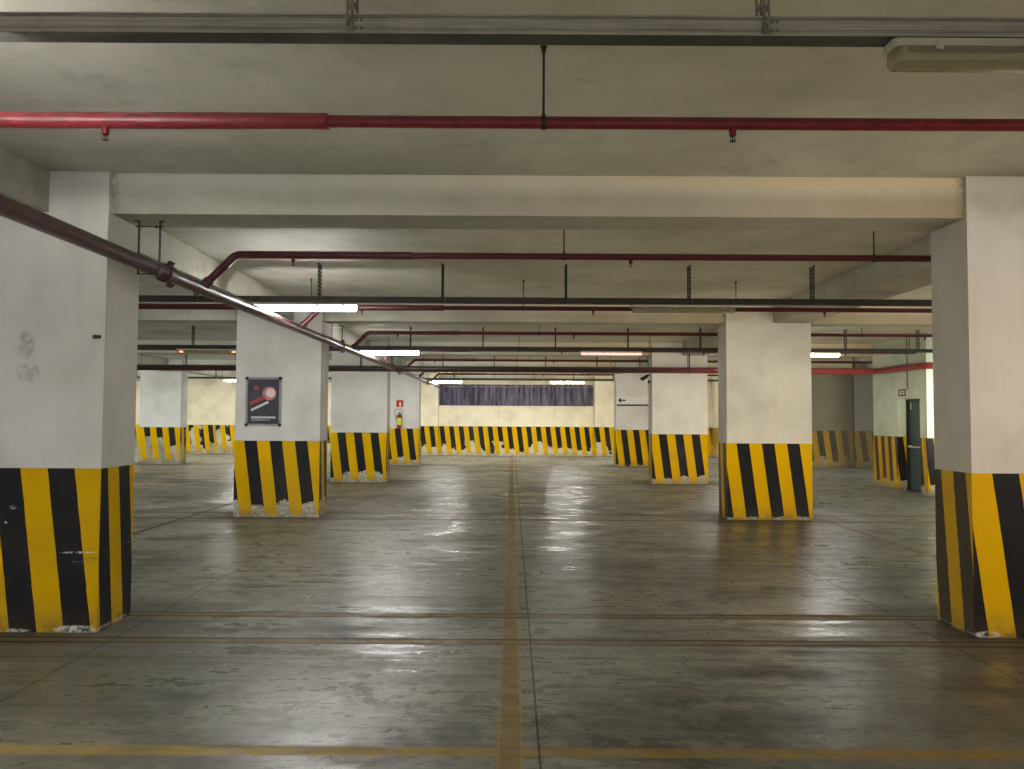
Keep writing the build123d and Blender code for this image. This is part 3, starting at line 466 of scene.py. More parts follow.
def striped_paint(name, wall=WALL_WHITE, reach=0.05, chips=0.05, grid=True, start=None,
                  left_reach=None, painted_shade=0.0, crust=CRUST, marks=()):
    """A painted wall with a striped band, its paint lost up to about reach from the floor."""
    made, shader, spot = material(name, wall, 0.55)
    shader["Specular IOR Level"] = 0.08
    place = spot["Object"]
    x, y, z = split(place)
    facing_x, facing_y, _ = split(spot["Normal"])
    up = z - FLOOR
    side = rise(abs(facing_x), 0.4, 0.6)
    near_x, near_y = to_column(x, y) if grid else (x, y)
    black = striped(place, up, side, facing_x * near_y - facing_y * near_x, start)
    worse = fall(x, LINES[1] + 0.5, LINES[1] + 5.5)
    depth = rise(x, 1.0, 7.0, reach if left_reach is None else left_reach, reach) + worse * FAR_LEFT_REACH
    bare = use(flaking, Place=place, Up=up, Reach=depth * rise(black, 0.0, 1.0, YELLOW_REACH, 1.0),
               Chips=rise(black, 0.0, 1.0, chips * YELLOW_CHIPS, chips))["Bare"]
    band = fall(up, BAND_HEIGHT, BAND_HEIGHT + 0.003)
    dirt = use(grime, Place=place, Up=up, Splash=0.28)
    patchy = noise(place, 2.2, 3.0)
    wall_tone = blend(rise(patchy, 0.35, 0.7), wall, darker(wall, 0.93))
    wall_tone = blend(dirt["Runs"] * 0.1, wall_tone, WALL_DIRT_AND_SHADE)
    colour = blend(band, wall_tone, band_colour(place, up, black, bare, worse, patchy, crust))
    colour = blend(dirt["Grime"] * rise(band, 0.0, 1.0, 0.45, 0.2), colour, WALL_DIRT_AND_SHADE)
    colour = dirtied_and_shaded(colour, place, up, side, painted_shade)
    broken = rise(noise(place, 20.0, 4.0, 0.6), 0.36, 0.58) if marks else None
    for mark in marks:
        colour = mark(place, colour, broken)
    if not grid:
        outside = rise(largest(abs(x) - OUTER_X, y - OUTER_Y), -0.01, -0.005)
        colour = blend(outside, colour, blend(rise(patchy, 0.3, 0.7), *CONCRETE_TONES))
    shader["Base Color"] = colour
    shader["Roughness"] = rise(band * (1.0 - bare), 0.0, 1.0, 0.6, 0.36) + dirt["Grime"] * 0.2
    shader["Normal"] = bump(use(roller, Place=place)["Height"], 0.0008)
    return made


# %% Placed marks
def rub(x, z, half_width, half_height, tone, strength=0.8):
    """A patch rubbed onto a front face: a soft ellipse, broken up by noise."""
    def put(place, colour, broken):
        px, _, pz = split(place)
        from_x = (px - x) / half_width
        from_z = (pz - (FLOOR + z)) / half_height
        away = from_x * from_x + from_z * from_z
        share = fall(away, 0.35, 1.0) * broken * strength
        return blend(share, colour, tone)
    return put


SCUFF_GREY = srgb(120, 116, 106)
SCUFF_WHITE = srgb(214, 212, 204)
SCUFF_BLACK = srgb(52, 50, 48)
near_marks = (
    rub(0.09, 2.13, 0.075, 0.13, SCUFF_GREY, 0.50),
    rub(0.11, 1.91, 0.110, 0.08, SCUFF_GREY, 0.42),
    rub(0.54, 0.584, 0.150, 0.008, SCUFF_WHITE, 1.0),
    rub(0.50, 0.580, 0.130, 0.005, SCUFF_WHITE, 1.0),
    rub(0.62, 0.540, 0.070, 0.006, SCUFF_BLACK, 0.8),
    rub(0.56, 0.515, 0.130, 0.006, SCUFF_GREY, 0.7),
    rub(0.52, 0.022, 0.190, 0.035, SCUFF_WHITE, 1.0),
    rub(0.08, 0.010, 0.120, 0.018, SCUFF_WHITE, 0.9),
    rub(7.22, 0.020, 0.110, 0.030, SCUFF_WHITE, 1.0),
    rub(0.03, 0.912, 0.030, 0.020, SCUFF_WHITE),
    rub(-0.02, 0.80, 0.012, 0.012, SCUFF_WHITE),
)

columns_near = striped_paint("column_paint_near", reach=-0.10, chips=0.10, marks=near_marks)
columns_second = striped_paint("column_paint_second", reach=0.05, chips=0.12, left_reach=0.24)
columns_far = striped_paint("column_paint_far", reach=0.17, chips=0.14, left_reach=0.26)
wear(columns_near, "columns_row_1", "columns_row_2")
wear(columns_second, "columns_row_3")
wear(columns_far, "columns_row_4", "columns_row_5")

rear_paint = striped_paint("rear_wall_paint", WALL_CREAM, 0.46, 0.30, grid=False, start=0.305,
                           crust=srgb(188, 176, 140))
wear(rear_paint, "rear_wall_panels", "rear_wall_pilasters")
core_paint = striped_paint("core_wall_paint", srgb(204, 216, 196), reach=0.24, chips=0.15, grid=False,
                           start=0.02)
# The store walls' darker paint and their 0.45 blend towards the wall dirt colour are painted shade: these
# walls stand in shadow.
store_paint = striped_paint("store_wall_paint", srgb(160, 158, 136), 0.3, 0.25, grid=False, start=0.1,
                            painted_shade=0.45)
wear(core_paint, *(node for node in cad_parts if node.startswith("core_")))
wear(store_paint, *(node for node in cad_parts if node.startswith("store_")))
wear(rear_paint, "store_side_wall")
print("striped finishes", [m.name for m in bpy.data.materials if "paint" in m.name])

# %% [markdown]
# ## Ceiling and beams
# The soffits have one coat of the same off-white over bare concrete, greyed by exhaust. Broad
# cloudy stains, pinholes and the faint lines of the formwork sheets show through. Painted light
# brightens the top of the beam faces, painted shade darkens their lower part and undersides, and
# grime with painted shade darkens the ceiling and beams round the column heads.

# %% Ceiling finish
made, shader, spot = material("soffit_paint", WALL_WHITE, 0.7)
place = spot["Object"]
x, y, z = split(place)
clouds = rise(noise(place, 0.55, 4.0, 0.62), 0.32, 0.72)
colour = blend(clouds, srgb(194, 192, 178), srgb(160, 158, 142))
blotches = rise(noise(place, 2.6, 4.0, 0.7), 0.5, 0.72)
colour = blend(blotches * 0.3, colour, srgb(118, 113, 96))
from_line, from_row = (abs(value) for value in to_column(x, y))
# Darker and browner round each column head, where the beams meet: grime and painted shade
corner = from_line + from_row + noise(place, 1.6, 3.0, 0.65) * 1.4
colour = blend(fall(corner, 1.1, 2.1) * 0.4, colour, srgb(98, 88, 68))
SHEET_WIDTH, SHEET_LENGTH, JOINT_WIDTH = 1.25, 2.5, 0.004
joint_x = fall(pingpong(x, SHEET_LENGTH / 2), 0.0, JOINT_WIDTH)
joint_y = fall(pingpong(y, SHEET_WIDTH / 2), 0.0, JOINT_WIDTH)
joints = largest(joint_x, joint_y)
colour = blend(joints * 0.1, colour, srgb(90, 88, 78))
pins = rise(noise(place, 46.0, 1.0), 0.75, 0.81)
colour = blend(pins * 0.35, colour, srgb(96, 94, 84))
_, facing_y, facing_z = split(spot["Normal"])
# Painted shade on the beams' undersides, which get less light than the ceiling
shaded_underside = rise(-facing_z, 0.5, 0.9) * fall(z, BEAM_SOFFIT, BEAM_SOFFIT + 0.05)
colour = blend(shaded_underside * 0.42, colour, srgb(96, 92, 78))
beam_face = rise(abs(facing_y), 0.5, 0.9)
wander = noise(place, 1.3, 1.0) * 0.08
# Painted light: a paler, warmer band along the top of each beam face, stronger to the right
painted_light_band = (beam_face * rise(z - wander, BEAM_SOFFIT + 0.07, BEAM_SOFFIT + 0.24)
           * rise(x, -1.5, 4.5, 0.5, 1.0))
pale = blend(rise(x, 1.0, 6.0), srgb(230, 227, 212), srgb(224, 204, 168))
colour = blend(painted_light_band * 0.75, colour, pale)
# Painted shade: the lower part of each beam face darker and browner towards the right
painted_lower_shade = beam_face * fall(z, BEAM_SOFFIT + 0.1, BEAM_SOFFIT + 0.22) * rise(x, 1.0, 6.0)
colour = blend(painted_lower_shade * 0.5, colour, srgb(158, 134, 98))
at_column = abs(from_line - COLUMN_WIDTH / 2)
# Dirt and painted shade on the beam faces where they meet the columns
joint_dirt_and_shade = beam_face * fall(at_column, 0.0, 0.09) * rise(noise(place, 7.0, 3.0, 0.7), 0.3, 0.6)
colour = blend(joint_dirt_and_shade * 0.6, colour, srgb(92, 80, 58))
grit = rise(noise(place, 75.0, 1.0, 0.7), 0.35, 0.7)
colour = blend(grit * 0.12, colour, srgb(120, 118, 104))
shader["Base Color"] = colour
height = noise(place, 120.0, 1.0) * 0.4 + noise(place, 3.0, 2.0)
shader["Normal"] = bump(height, 0.0012)
wear(made, "roof_slab", "cross_beams", "long_beams")
print("formwork sheets of", SHEET_LENGTH, "by", SHEET_WIDTH, "m")

# %% [markdown]
# ## Floor
# Power-floated concrete, polished by use: grey-green, cloudy, glossy in some places and dull
# in others. Painted lines cross it, worn in places, and saw cuts divide it into fields.
# Each line is a function of one coordinate, drawn where the distance to it is small.

# %% Where the floor lines are
LINE_PAINT = srgb(166, 134, 44)
OLD_PAINT = srgb(122, 100, 52)
LINE_WIDTH = 0.12
CUT_WIDTH = 0.009
AISLE_CENTRE = 3.715
FIELD_CUTS = (0.875, 6.835)
SIDE_LINES = (-1.365, 8.635)
STOP_LINE_AFTER_ROW = 4.27
ROW_LINES = (-0.42, 0.30)
CROSS_CUTS = (-0.815, 2.275)
# Middle and half size of each oil stain
SPILLS = ((5.10, -11.62, 0.62, 0.42), (3.42, -11.80, 0.40, 0.26), (1.70, -11.35, 0.50, 0.35),
          (2.30, -9.90, 0.55, 0.30), (5.35, -10.80, 0.80, 0.20))


def stripe_at(value, middle, width, soft=0.003):
    """1 within half a width of middle, and 0 away from it."""
    away = abs(value - middle)
    return fall(away, width / 2, width / 2 + soft)


print("floor lines at", AISLE_CENTRE, SIDE_LINES, "and", STOP_LINE_AFTER_ROW, "after each row")

# %% Floated concrete
made, shader, spot = material("floor_concrete", roughness=0.35)
place = spot["Object"]
x, y, z = split(place)
broad = noise(place, 0.35, 4.0, 0.6)
medium = noise(place, 1.5, 6.0, 0.66)
fine = noise(place, 14.0, 4.0, 0.7)
speckle = noise(place, 160.0, 1.0, 0.6)
colour = blend(rise(broad, 0.36, 0.66), srgb(162, 163, 150), srgb(118, 118, 104))
colour = blend(rise(medium, 0.44, 0.66, 0.0, 0.75), colour, srgb(84, 83, 70))
colour = blend(rise(fine, 0.48, 0.68, 0.0, 0.5), colour, srgb(76, 74, 62))
colour = blend(rise(speckle, 0.38, 0.66, 0.0, 0.45), colour, srgb(66, 64, 56))
flecks = rise(noise(place, 22.0, 2.0, 0.6, stretch=(0.5, 1.8, 1.0)), 0.66, 0.69)
colour = blend(flecks * 0.75, colour, srgb(40, 38, 34))
floated = noise(place, 2.4, 5.0, 0.66, stretch=(0.3, 3.2, 1.0))
colour = blend(rise(floated, 0.45, 0.7, 0.0, 0.42), colour, srgb(84, 84, 72))
colour = blend(rise(floated, 0.48, 0.28, 0.0, 0.3), colour, srgb(182, 184, 170))

# %% Unswept dirt round the columns, oil and rubber
row_y = wrap(y - ROWS[0], ROW_PITCH - ROW_PITCH / 4, -ROW_PITCH / 4)
line_x = wrap(x - LINES[0], LINE_PITCH / 2, -LINE_PITCH / 2)
off_x = largest(abs(line_x) - COLUMN_WIDTH / 2, 0.0)
off_y = largest(abs(row_y) - COLUMN_DEPTH / 2, 0.0)
off_column = root(off_x * off_x + off_y * off_y)
swept = fall(off_column + medium * 0.9, 0.3, 1.4)
colour = blend(swept * 0.82, colour, srgb(62, 52, 37))
zone = rise(noise(place, 0.45, 2.0), 0.5, 0.6)
blots = rise(noise(place, 3.4, 4.0, 0.72), 0.54, 0.62) * zone
smears = rise(noise(place, 1.3, 4.0, 0.74, stretch=(0.9, 4.5, 1.0)), 0.55, 0.62)
stains = largest(blots, smears * 0.75)
ragged = noise(place, 5.0, 4.0, 0.72)
for spill_x, spill_y, half_x, half_y in SPILLS:
    from_x = (x - spill_x) / half_x
    from_y = (y - spill_y) / half_y
    away = from_x * from_x + from_y * from_y + ragged * 2.6
    stains = largest(stains, fall(away, 1.35, 2.1))
colour = blend(stains * 0.62, colour, srgb(46, 45, 40))
print(len(SPILLS), "spills on the floor")

# %% Painted lines of the floor
worn = rise(noise(place, 9.0, 4.0, 0.75), 0.4, 0.56)
centre_line = (stripe_at(x, AISLE_CENTRE, LINE_WIDTH) * rise(worn, 0.0, 1.0, 0.92, 0.66)
               * fall(y, -4.0, 8.0))
centre_trace = stripe_at(x, AISLE_CENTRE, LINE_WIDTH * 0.8) * rise(worn, 0.0, 1.0, 0.95, 0.6)
stop_line = (stripe_at(row_y, STOP_LINE_AFTER_ROW, LINE_WIDTH * 0.85) * rise(worn, 0.0, 1.0, 0.92, 0.55)
             * fall(y, -11.0, -9.0))
colour = blend(largest(centre_line, stop_line), colour, LINE_PAINT)
old = largest(*[stripe_at(row_y, at, 0.1, 0.015) for at in ROW_LINES])
old = largest(old, *[stripe_at(x, at, 0.08, 0.012) for at in SIDE_LINES])
old = old * rise(worn, 0.0, 1.0, 0.95, 0.55)
colour = blend(largest(old, centre_trace), colour, OLD_PAINT)

# %% Saw cuts of the floor
cuts = stripe_at(x, AISLE_CENTRE + 0.14, CUT_WIDTH)
for at in FIELD_CUTS:
    cuts = largest(cuts, stripe_at(x, at, CUT_WIDTH, 0.006) * 0.8)
for at in ROW_LINES:
    for side in (-0.062, 0.050):
        cuts = largest(cuts, stripe_at(row_y, at + side, 0.02, 0.012))
for at in CROSS_CUTS:
    cuts = largest(cuts, stripe_at(row_y, at, 0.008, 0.006) * 0.65)
cuts = largest(cuts, stripe_at(x, SIDE_LINES[0] - 0.03, 0.035, 0.02) * 0.8)
colour = blend(cuts * 0.82, colour, srgb(34, 31, 24))
shader["Base Color"] = colour

# %% Gloss of the floor
matte = largest(centre_line, centre_trace * 0.8, stop_line, old, cuts)
gloss = (rise(medium, 0.35, 0.68, 0.22, 0.38) + (fine - 0.5) * 0.22
         + rise(floated, 0.35, 0.62, -0.02, 0.12) + stains * 0.1 + swept * 0.28 + matte * 0.32)
shader["Roughness"] = gloss
shader["Specular IOR Level"] = 0.75
waves = noise(place, 1.7, 4.0, 0.62)
shader["Normal"] = bump(waves * 1.8, 0.0012)
wear(made, "floor_slab")
print("floor", len(made.node_tree.nodes), "nodes")

# %% [markdown]
# ## Metals, pipes and plastics
# Small plain finishes come from three functions. Pipes are enamelled maroon and collect dust on
# top, which is where the normal points up. Galvanised sheet shows soft spangle and long
# streaks along the fold.


# %% Pipe and metal finishes
# Where pipes take painted shade further back, and painted light to the right
SHADE_FROM = (-11.0, -9.5)
LIT_FROM = (6.0, 10.5)


def enamel(name, colour, roughness=0.38, dust=0.35, dust_colour=srgb(120, 112, 104), shade_further_back=None,
           lit_to_right=None):
    """Paint on steel: slightly uneven, dusty where it looks up, with painted shade further back and
    painted light to the right if given.
    """
    made, shader, spot = material(name, colour, roughness)
    place = spot["Object"]
    _, _, facing_up = split(spot["Normal"])
    uneven = noise(place, 11.0, 5.0, 0.65)
    shade = darker(colour, 0.62)
    tone = blend(rise(uneven, 0.35, 0.7), colour, shade)
    # Painted shade: a darker tone further back
    if shade_further_back:
        share = rise(split(place)[1], *SHADE_FROM)
        tone = blend(share * 0.8, tone, shade_further_back)
    # Painted light: a brighter red to the right
    if lit_to_right:
        tone = blend(rise(split(place)[0], *LIT_FROM), tone, lit_to_right)
    settled = rise(facing_up, 0.2, 0.9) * rise(uneven, 0.3, 0.6) * dust
    shader["Base Color"] = blend(settled, tone, dust_colour)
    shader["Roughness"] = roughness + settled * 0.5 + uneven * 0.1
    shader["Normal"] = bump(noise(place, 90.0, 3.0), 0.0004)
    return made


def bare_metal(name, colour, roughness=0.42, metallic=0.85, stretch=(0.6, 9.0, 9.0)):
    """Galvanised or brushed metal: streaks along X, dull spots and a light bump."""
    made, shader, spot = material(name, colour, roughness, metallic)
    place = spot["Object"]
    streaks = noise(place, 14.0, 4.0, 0.6, stretch=stretch)
    spots = rise(noise(place, 60.0, 4.0, 0.7), 0.5, 0.72)
    shade = darker(colour, 0.66)
    tone = blend(rise(streaks, 0.35, 0.68), colour, shade)
    tone = blend(spots * 0.45, tone, srgb(92, 86, 76))
    shader["Base Color"] = tone
    shader["Roughness"] = roughness - 0.1 + streaks * 0.25 + spots * 0.2
    shader["Normal"] = bump(streaks, 0.0003)
    return made


def moulded(name, colour, roughness=0.4, grain=400.0):
    """Moulded plastic or powder coat: a fine grain, and handling marks in the gloss."""
    made, shader, spot = material(name, colour, roughness)
    place = spot["Object"]
    handled = rise(noise(place, 8.0, 5.0, 0.7), 0.4, 0.72)
    shade = darker(colour, 0.80)
    shader["Base Color"] = blend(handled * 0.7, colour, shade)
    shader["Roughness"] = roughness + handled * 0.15
    shader["Normal"] = bump(noise(place, grain, 2.0), 0.0002)
    return made


# %% Finishes of pipes and hangers
# Branch pipes and the main darker further back, and the cross main redder to the right: painted shade and
# painted light
pipe_enamel = enamel("pipe_enamel", srgb(124, 40, 44), 0.33, shade_further_back=srgb(58, 22, 26))
main_enamel = enamel("main_enamel", srgb(82, 56, 60), 0.30, shade_further_back=srgb(62, 38, 40))
cross_enamel = enamel("cross_main_enamel", srgb(52, 34, 34), 0.34, lit_to_right=srgb(136, 50, 50))
wear(pipe_enamel, "branch_pipes", "branch_risers")
wear(main_enamel, "sprinkler_main")
wear(cross_enamel, "cross_main")
dark_steel = enamel("hanger_steel", srgb(40, 40, 42), 0.5, 0.25)
wear(dark_steel, "branch_pipe_hangers", "main_pipe_straps", "door_hinges", "extinguisher_bracket",
     "cable_hook")
galvanised = bare_metal("galvanised_sheet", srgb(132, 130, 124), metallic=0.6)
wear(galvanised, "exit_light_conduit")

# %% Finishes of straps and trunking
strap_steel, shader, spot = material("strap_steel", roughness=0.5, metallic=0.3)
place = spot["Object"]
dulled = rise(noise(place, 18.0, 5.0, 0.7), 0.35, 0.65)
colour = blend(dulled, srgb(152, 146, 136), srgb(108, 103, 95))
# Painted shade: the straps further back than the first bay go nearly black
further = rise(split(place)[1], -11.0, -9.0)
shader["Base Color"] = blend(further * 0.94, colour, srgb(28, 30, 31))
shader["Roughness"] = 0.4 + dulled * 0.2
wear(strap_steel, "trunking_hangers")
trunk_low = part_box("lighting_trunking")[0]
trunking_finish, shader, spot = material("trunking_sheet", roughness=0.5, metallic=0.25)
place = spot["Object"]
x, y, z = split(place)
_, _, facing_z = split(spot["Normal"])
drawn = noise(place, 30.0, 4.0, 0.6, stretch=(0.08, 1.0, 4.0))
dull = rise(noise(place, 7.0, 5.0, 0.65), 0.35, 0.7)
colour = blend(rise(drawn, 0.35, 0.65), srgb(190, 182, 170), srgb(160, 152, 141))
colour = blend(dull * 0.4, colour, srgb(132, 126, 116))
# Painted shade: the trunking further back than the first bay goes nearly black
further = rise(y, -11.0, -9.0)
colour = blend(further * 0.92, colour, srgb(30, 32, 31))
rise_up = z - trunk_low[2]
for level, width in ((0.017, 0.0016), (0.023, 0.0012), (0.060, 0.0020)):
    colour = blend(stripe_at(rise_up, level, width, 0.001) * 0.7, colour, srgb(58, 55, 50))
# Painted shade: the faces that look down, into the open channel, are nearly black
painted_shade_below = rise(-facing_z, 0.5, 0.9)
colour = blend(painted_shade_below * 0.88, colour, srgb(44, 44, 40))
shader["Base Color"] = colour
shader["Roughness"] = 0.42 + dull * 0.2
shader["Normal"] = bump(drawn, 0.0003)
wear(trunking_finish, "lighting_trunking")

# %% Finishes of fittings and of the door
head_metal = bare_metal("head_bronze", srgb(58, 50, 44), 0.45, 0.5)
wear(head_metal, "sprinkler_heads")
wear(enamel("door_frame_paint", srgb(42, 48, 50), 0.4, 0.1), "door_frame")
wear(enamel("door_leaf_paint", srgb(70, 92, 90), 0.42, 0.1), "emergency_door")
black_plastic = moulded("black_plastic", srgb(30, 30, 32), 0.45)
wear(black_plastic, "panic_bar_housings", "security_camera", "extinguisher_valve")
wear(moulded("hose_rubber", srgb(24, 24, 25), 0.6), "extinguisher_hose")
wear(moulded("panic_bar_white", srgb(214, 216, 212), 0.35), "panic_bar")
white_plastic = moulded("white_plastic", srgb(192, 184, 160), 0.45)
wear(white_plastic, "light_housings", "exit_light")
wear(enamel("extinguisher_red", srgb(150, 34, 30), 0.25, 0.15), "extinguisher_cylinder")
frame_metal = bare_metal("frame_aluminium", srgb(190, 190, 190), 0.35)
wear(frame_metal, "poster_frame")
film_white = moulded("film_white", srgb(222, 222, 214), 0.4)
print(len(bpy.data.materials), "finishes so far")

# %% [markdown]
# ## Lamp covers
# A working cover is a prismatic trough that glows so brightly that it reads as plain white.
# One old pair of tubes glows pink and dim. A dead cover is clear plastic gone slightly milky.


# %% Cover finishes
def glowing(name, colour, strength, core=None):
    """A lit cover; with core, the height and half height of the band that glows."""
    made, shader, spot = material(name, colour, 0.3)
    x, y, z = split(spot["Object"])
    shader["Normal"] = bump(pingpong(x, 0.004), 0.001, 0.5)
    glow = blend(noise(spot["Object"], 6.0, 2.0), colour, darker(colour, 0.9))
    if core:
        off_core = abs(z - core[0])
        glow = blend(rise(off_core, core[1] * 0.6, core[1] * 1.3), glow, srgb(120, 60, 58))
    shader["Emission Color"] = glow
    shader["Emission Strength"] = strength
    made.cycles.emission_sampling = "NONE"
    return made


cover_lit = glowing("cover_lit", (1.0, 0.99, 0.96, 1.0), 95.0)
cover_end = glowing("cover_end", (1.0, 0.97, 0.90, 1.0), 0.55)
fading_low, fading_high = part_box("fading_light_cover")
cover_fading = glowing("cover_fading", srgb(255, 214, 204), 1.25,
                       ((fading_low[2] + fading_high[2]) / 2 + 0.004, 0.019))
clear_plastic, shader, spot = material("cover_clear", srgb(232, 228, 206), 0.16)
shader["Transmission Weight"] = 0.86
shader["IOR"] = 1.35
yellowed = noise(spot["Object"], 5.0, 4.0)
shader["Base Color"] = blend(yellowed, srgb(250, 246, 226), srgb(236, 224, 182))
ribs = pingpong(split(spot["Object"])[0], 0.003)
shader["Normal"] = bump(ribs, 0.0006, 0.4)
tube_white = moulded("tube_white", srgb(226, 222, 206), 0.2)
clip_plastic = moulded("clip_plastic", srgb(186, 182, 166), 0.4)
wear(cover_lit, "lit_light_covers")
wear(cover_fading, "fading_light_cover")
wear(clear_plastic, "dark_light_covers")
print("lit", len(solids("lit_light_covers")), "dark", len(solids("dark_light_covers")))

# %% [markdown]
# ## Signs, poster and banner
# Printed surfaces are plain shapes in a few colours, under a thin gloss. The cloth of the banner
# is faded in streaks that hang down, with a crease where it was folded.

# %% Banner cloth finish
banner_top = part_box("wall_banner")[1][2]
banner_finish, shader, spot = material("banner_cloth", srgb(74, 68, 92), 0.75)
place = spot["Object"]
x, y, z = split(place)
faded = noise(place, 1.0, 5.0, 0.65, stretch=(7.0, 1.0, 0.7))
colour = blend(rise(faded, 0.38, 0.64), srgb(44, 40, 58), srgb(112, 106, 118))
colour = blend(rise(noise(place, 26.0, 4.0, 0.7), 0.55, 0.72) * 0.35, colour, srgb(150, 142, 150))
crease_at = banner_top - 0.085 + (noise(place, 2.2, 3.0) - 0.5) * 0.1
crease = fall(abs(z - crease_at), 0.004, 0.022)
crease = crease * rise(noise(place, 5.0, 4.0, 0.7), 0.4, 0.6)
colour = blend(crease * 0.85, colour, srgb(176, 172, 182))
hairs = rise(noise(place, 1.0, 4.0, 0.7, stretch=(42.0, 1.0, 1.4)), 0.5, 0.68)
colour = blend(hairs * 0.45, colour, srgb(36, 33, 44))
shader["Base Color"] = colour
weave = pingpong(x, 0.0012) + pingpong(z, 0.0012)
shader["Normal"] = bump(weave, 0.3, 0.3)
wear(banner_finish, "wall_banner")

# %% Label finish
label_finish, shader, spot = material("extinguisher_label", srgb(190, 196, 60), 0.4)
x, y, z = split(spot["Object"])
rows = fall(pingpong(z, 0.009), 0.0022, 0.0026)
inner = rise(noise(spot["Object"], 90.0, 2.0, stretch=(1.0, 1.0, 3.0)), 0.45, 0.5)
shader["Base Color"] = blend(rows * inner * 0.8, srgb(206, 222, 62), srgb(112, 120, 34))


# %% Poster print
def patch(x, z, at, half, turn=0.0, soft=0.004):
    """A tilted rectangle in the plane of the poster: 1 inside it and 0 outside."""
    right, up = x - at[0], z - at[1]
    cosine, sine = math.cos(turn), math.sin(turn)
    along = abs(right * cosine + up * sine)
    across = abs(up * cosine - right * sine)
    return fall(along, half[0], half[0] + soft) * fall(across, half[1], half[1] + soft)


def disc(x, z, at, radius, soft=0.004):
    """A round spot in the plane of the poster."""
    right, up = x - at[0], z - at[1]
    away = root(right * right + up * up)
    return fall(away, radius, radius + soft)


poster_low, poster_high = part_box("poster_panel")
mid_x, mid_z = (poster_low[0] + poster_high[0]) / 2, (poster_low[2] + poster_high[2]) / 2
poster_print, shader, spot = material("poster_print", roughness=0.3)
x, y, z = split(spot["Object"])
right, up = x - mid_x, z - mid_z
smoke = noise(spot["Object"], 5.0, 5.0, 0.6)
colour = blend(rise(smoke, 0.3, 0.7), srgb(24, 26, 33), srgb(54, 56, 64))
PRINT = (
    (disc, ((0.09, 0.13), 0.105), srgb(196, 120, 122)),
    (disc, ((0.11, 0.14), 0.070), srgb(226, 206, 200)),
    (patch, ((-0.10, 0.02), (0.13, 0.026), 0.45), srgb(158, 54, 58)),
    (patch, ((-0.06, -0.07), (0.15, 0.016), 0.45), srgb(214, 208, 204)),
    (disc, ((-0.12, 0.22), 0.038), srgb(158, 54, 58)),
    (patch, ((0.0, -0.25), (0.19, 0.012), 0.0), srgb(206, 202, 198)),
    (patch, ((-0.04, -0.29), (0.15, 0.007), 0.0), srgb(150, 148, 146)),
)
for shape, where, tint in PRINT:
    colour = blend(shape(right, up, *where) * 0.9, colour, tint)
shader["Base Color"] = colour
shader["Roughness"] = rise(smoke, 0.3, 0.7, 0.25, 0.4)
shader["Coat Weight"] = 0.25
shader["Coat Roughness"] = 0.08
wear(poster_print, "poster_panel")
wear(moulded("sign_red", srgb(190, 44, 36), 0.35), "extinguisher_sign")
wear(moulded("sign_white", srgb(214, 214, 206), 0.4), "direction_sign")

# %% [markdown]
# ## Modelling by hand, in code
# New pieces start as a primitive at its size and place. Edit mode then works on what is
# selected, so faces and edges are picked by a test on their middle and direction, as a hand
# would click them. A piece that repeats is modelled once at the origin, copied to each place
# with its own mesh, and joined.


# %% Tools for modelling
def corners_of(node):
    """The lowest and the highest corner of a CAD node."""
    return [Vector(corner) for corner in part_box(node)]


def top_of(box):
    return Vector((*centre(box).xy, box[1].z))


def foot_of(box):
    return Vector((*centre(box).xy, box[0].z))


def nothing_selected():
    if bpy.context.mode != "OBJECT":
        bpy.ops.object.mode_set(mode="OBJECT")
    bpy.ops.object.select_all(action="DESELECT")


def only(piece):
    nothing_selected()
    piece.select_set(True)
    bpy.context.view_layer.objects.active = piece


def started(name):
    """Names the primitive that was just added and puts its place and size into its mesh."""
    piece = bpy.context.object
    piece.name = name
    bpy.ops.object.transform_apply(location=True, rotation=True, scale=True)
    return piece


def block(name, size, place=(0, 0, 0)):
    nothing_selected()
    bpy.ops.mesh.primitive_cube_add(size=1, location=place)
    bpy.context.object.scale = size
    return started(name)


def rod(name, radius, length, place=(0, 0, 0), along="Z", sides=16):
    nothing_selected()
    turn = {"X": (0, math.pi / 2, 0), "Y": (math.pi / 2, 0, 0), "Z": (0, 0, 0)}[along]
    bpy.ops.mesh.primitive_cylinder_add(vertices=sides, radius=radius, depth=length,
                                        location=place, rotation=turn)
    return started(name)


def ring(name, radius, thickness, place=(0, 0, 0), turn=(0, 0, 0), sides=20, around=8):
    nothing_selected()
    bpy.ops.mesh.primitive_torus_add(major_radius=radius, minor_radius=thickness, location=place,
                                     rotation=turn, major_segments=sides, minor_segments=around)
    return started(name)


def pick(piece, test, kind="FACE"):
    """Edit mode with only the faces or edges selected for which test(middle, direction) holds."""
    only(piece)
    bpy.ops.object.mode_set(mode="EDIT")
    bpy.ops.mesh.select_mode(type=kind)
    bpy.ops.mesh.select_all(action="DESELECT")
    mesh = bmesh.from_edit_mesh(piece.data)
    if kind == "FACE":
        for face in mesh.faces:
            if test(face.calc_center_median(), face.normal):
                face.select_set(True)
    else:
        for edge in mesh.edges:
            first, second = edge.verts
            if test((first.co + second.co) / 2, (second.co - first.co).normalized()):
                edge.select_set(True)
    bmesh.update_edit_mesh(piece.data)


def facing(axis, way=0):
    """A test for pick: along an axis, and with way 1 or -1 only up or down that axis."""
    if way:
        return lambda middle, direction: direction[axis] * way > 0.9
    return lambda middle, direction: abs(direction[axis]) > 0.9


ALONG_X, ALONG_Y, ALONG_Z = facing(0), facing(1), facing(2)
LEFTWARD, RIGHTWARD, FORWARD = facing(0, -1), facing(0, 1), facing(1, -1)
UPWARD, DOWNWARD = facing(2, 1), facing(2, -1)


def LEVEL(middle, direction):
    return abs(direction.z) < 0.1


def EVERYTHING(middle, direction):
    return True


# %% [markdown]
# Each operator of edit mode gets a short name here. The first four pick their faces or edges
# themselves, the next four work on what is still selected from the step before, and the last
# three are short recipes: studs on both ends of a bolt, an arrow head, and the wall of a shell.


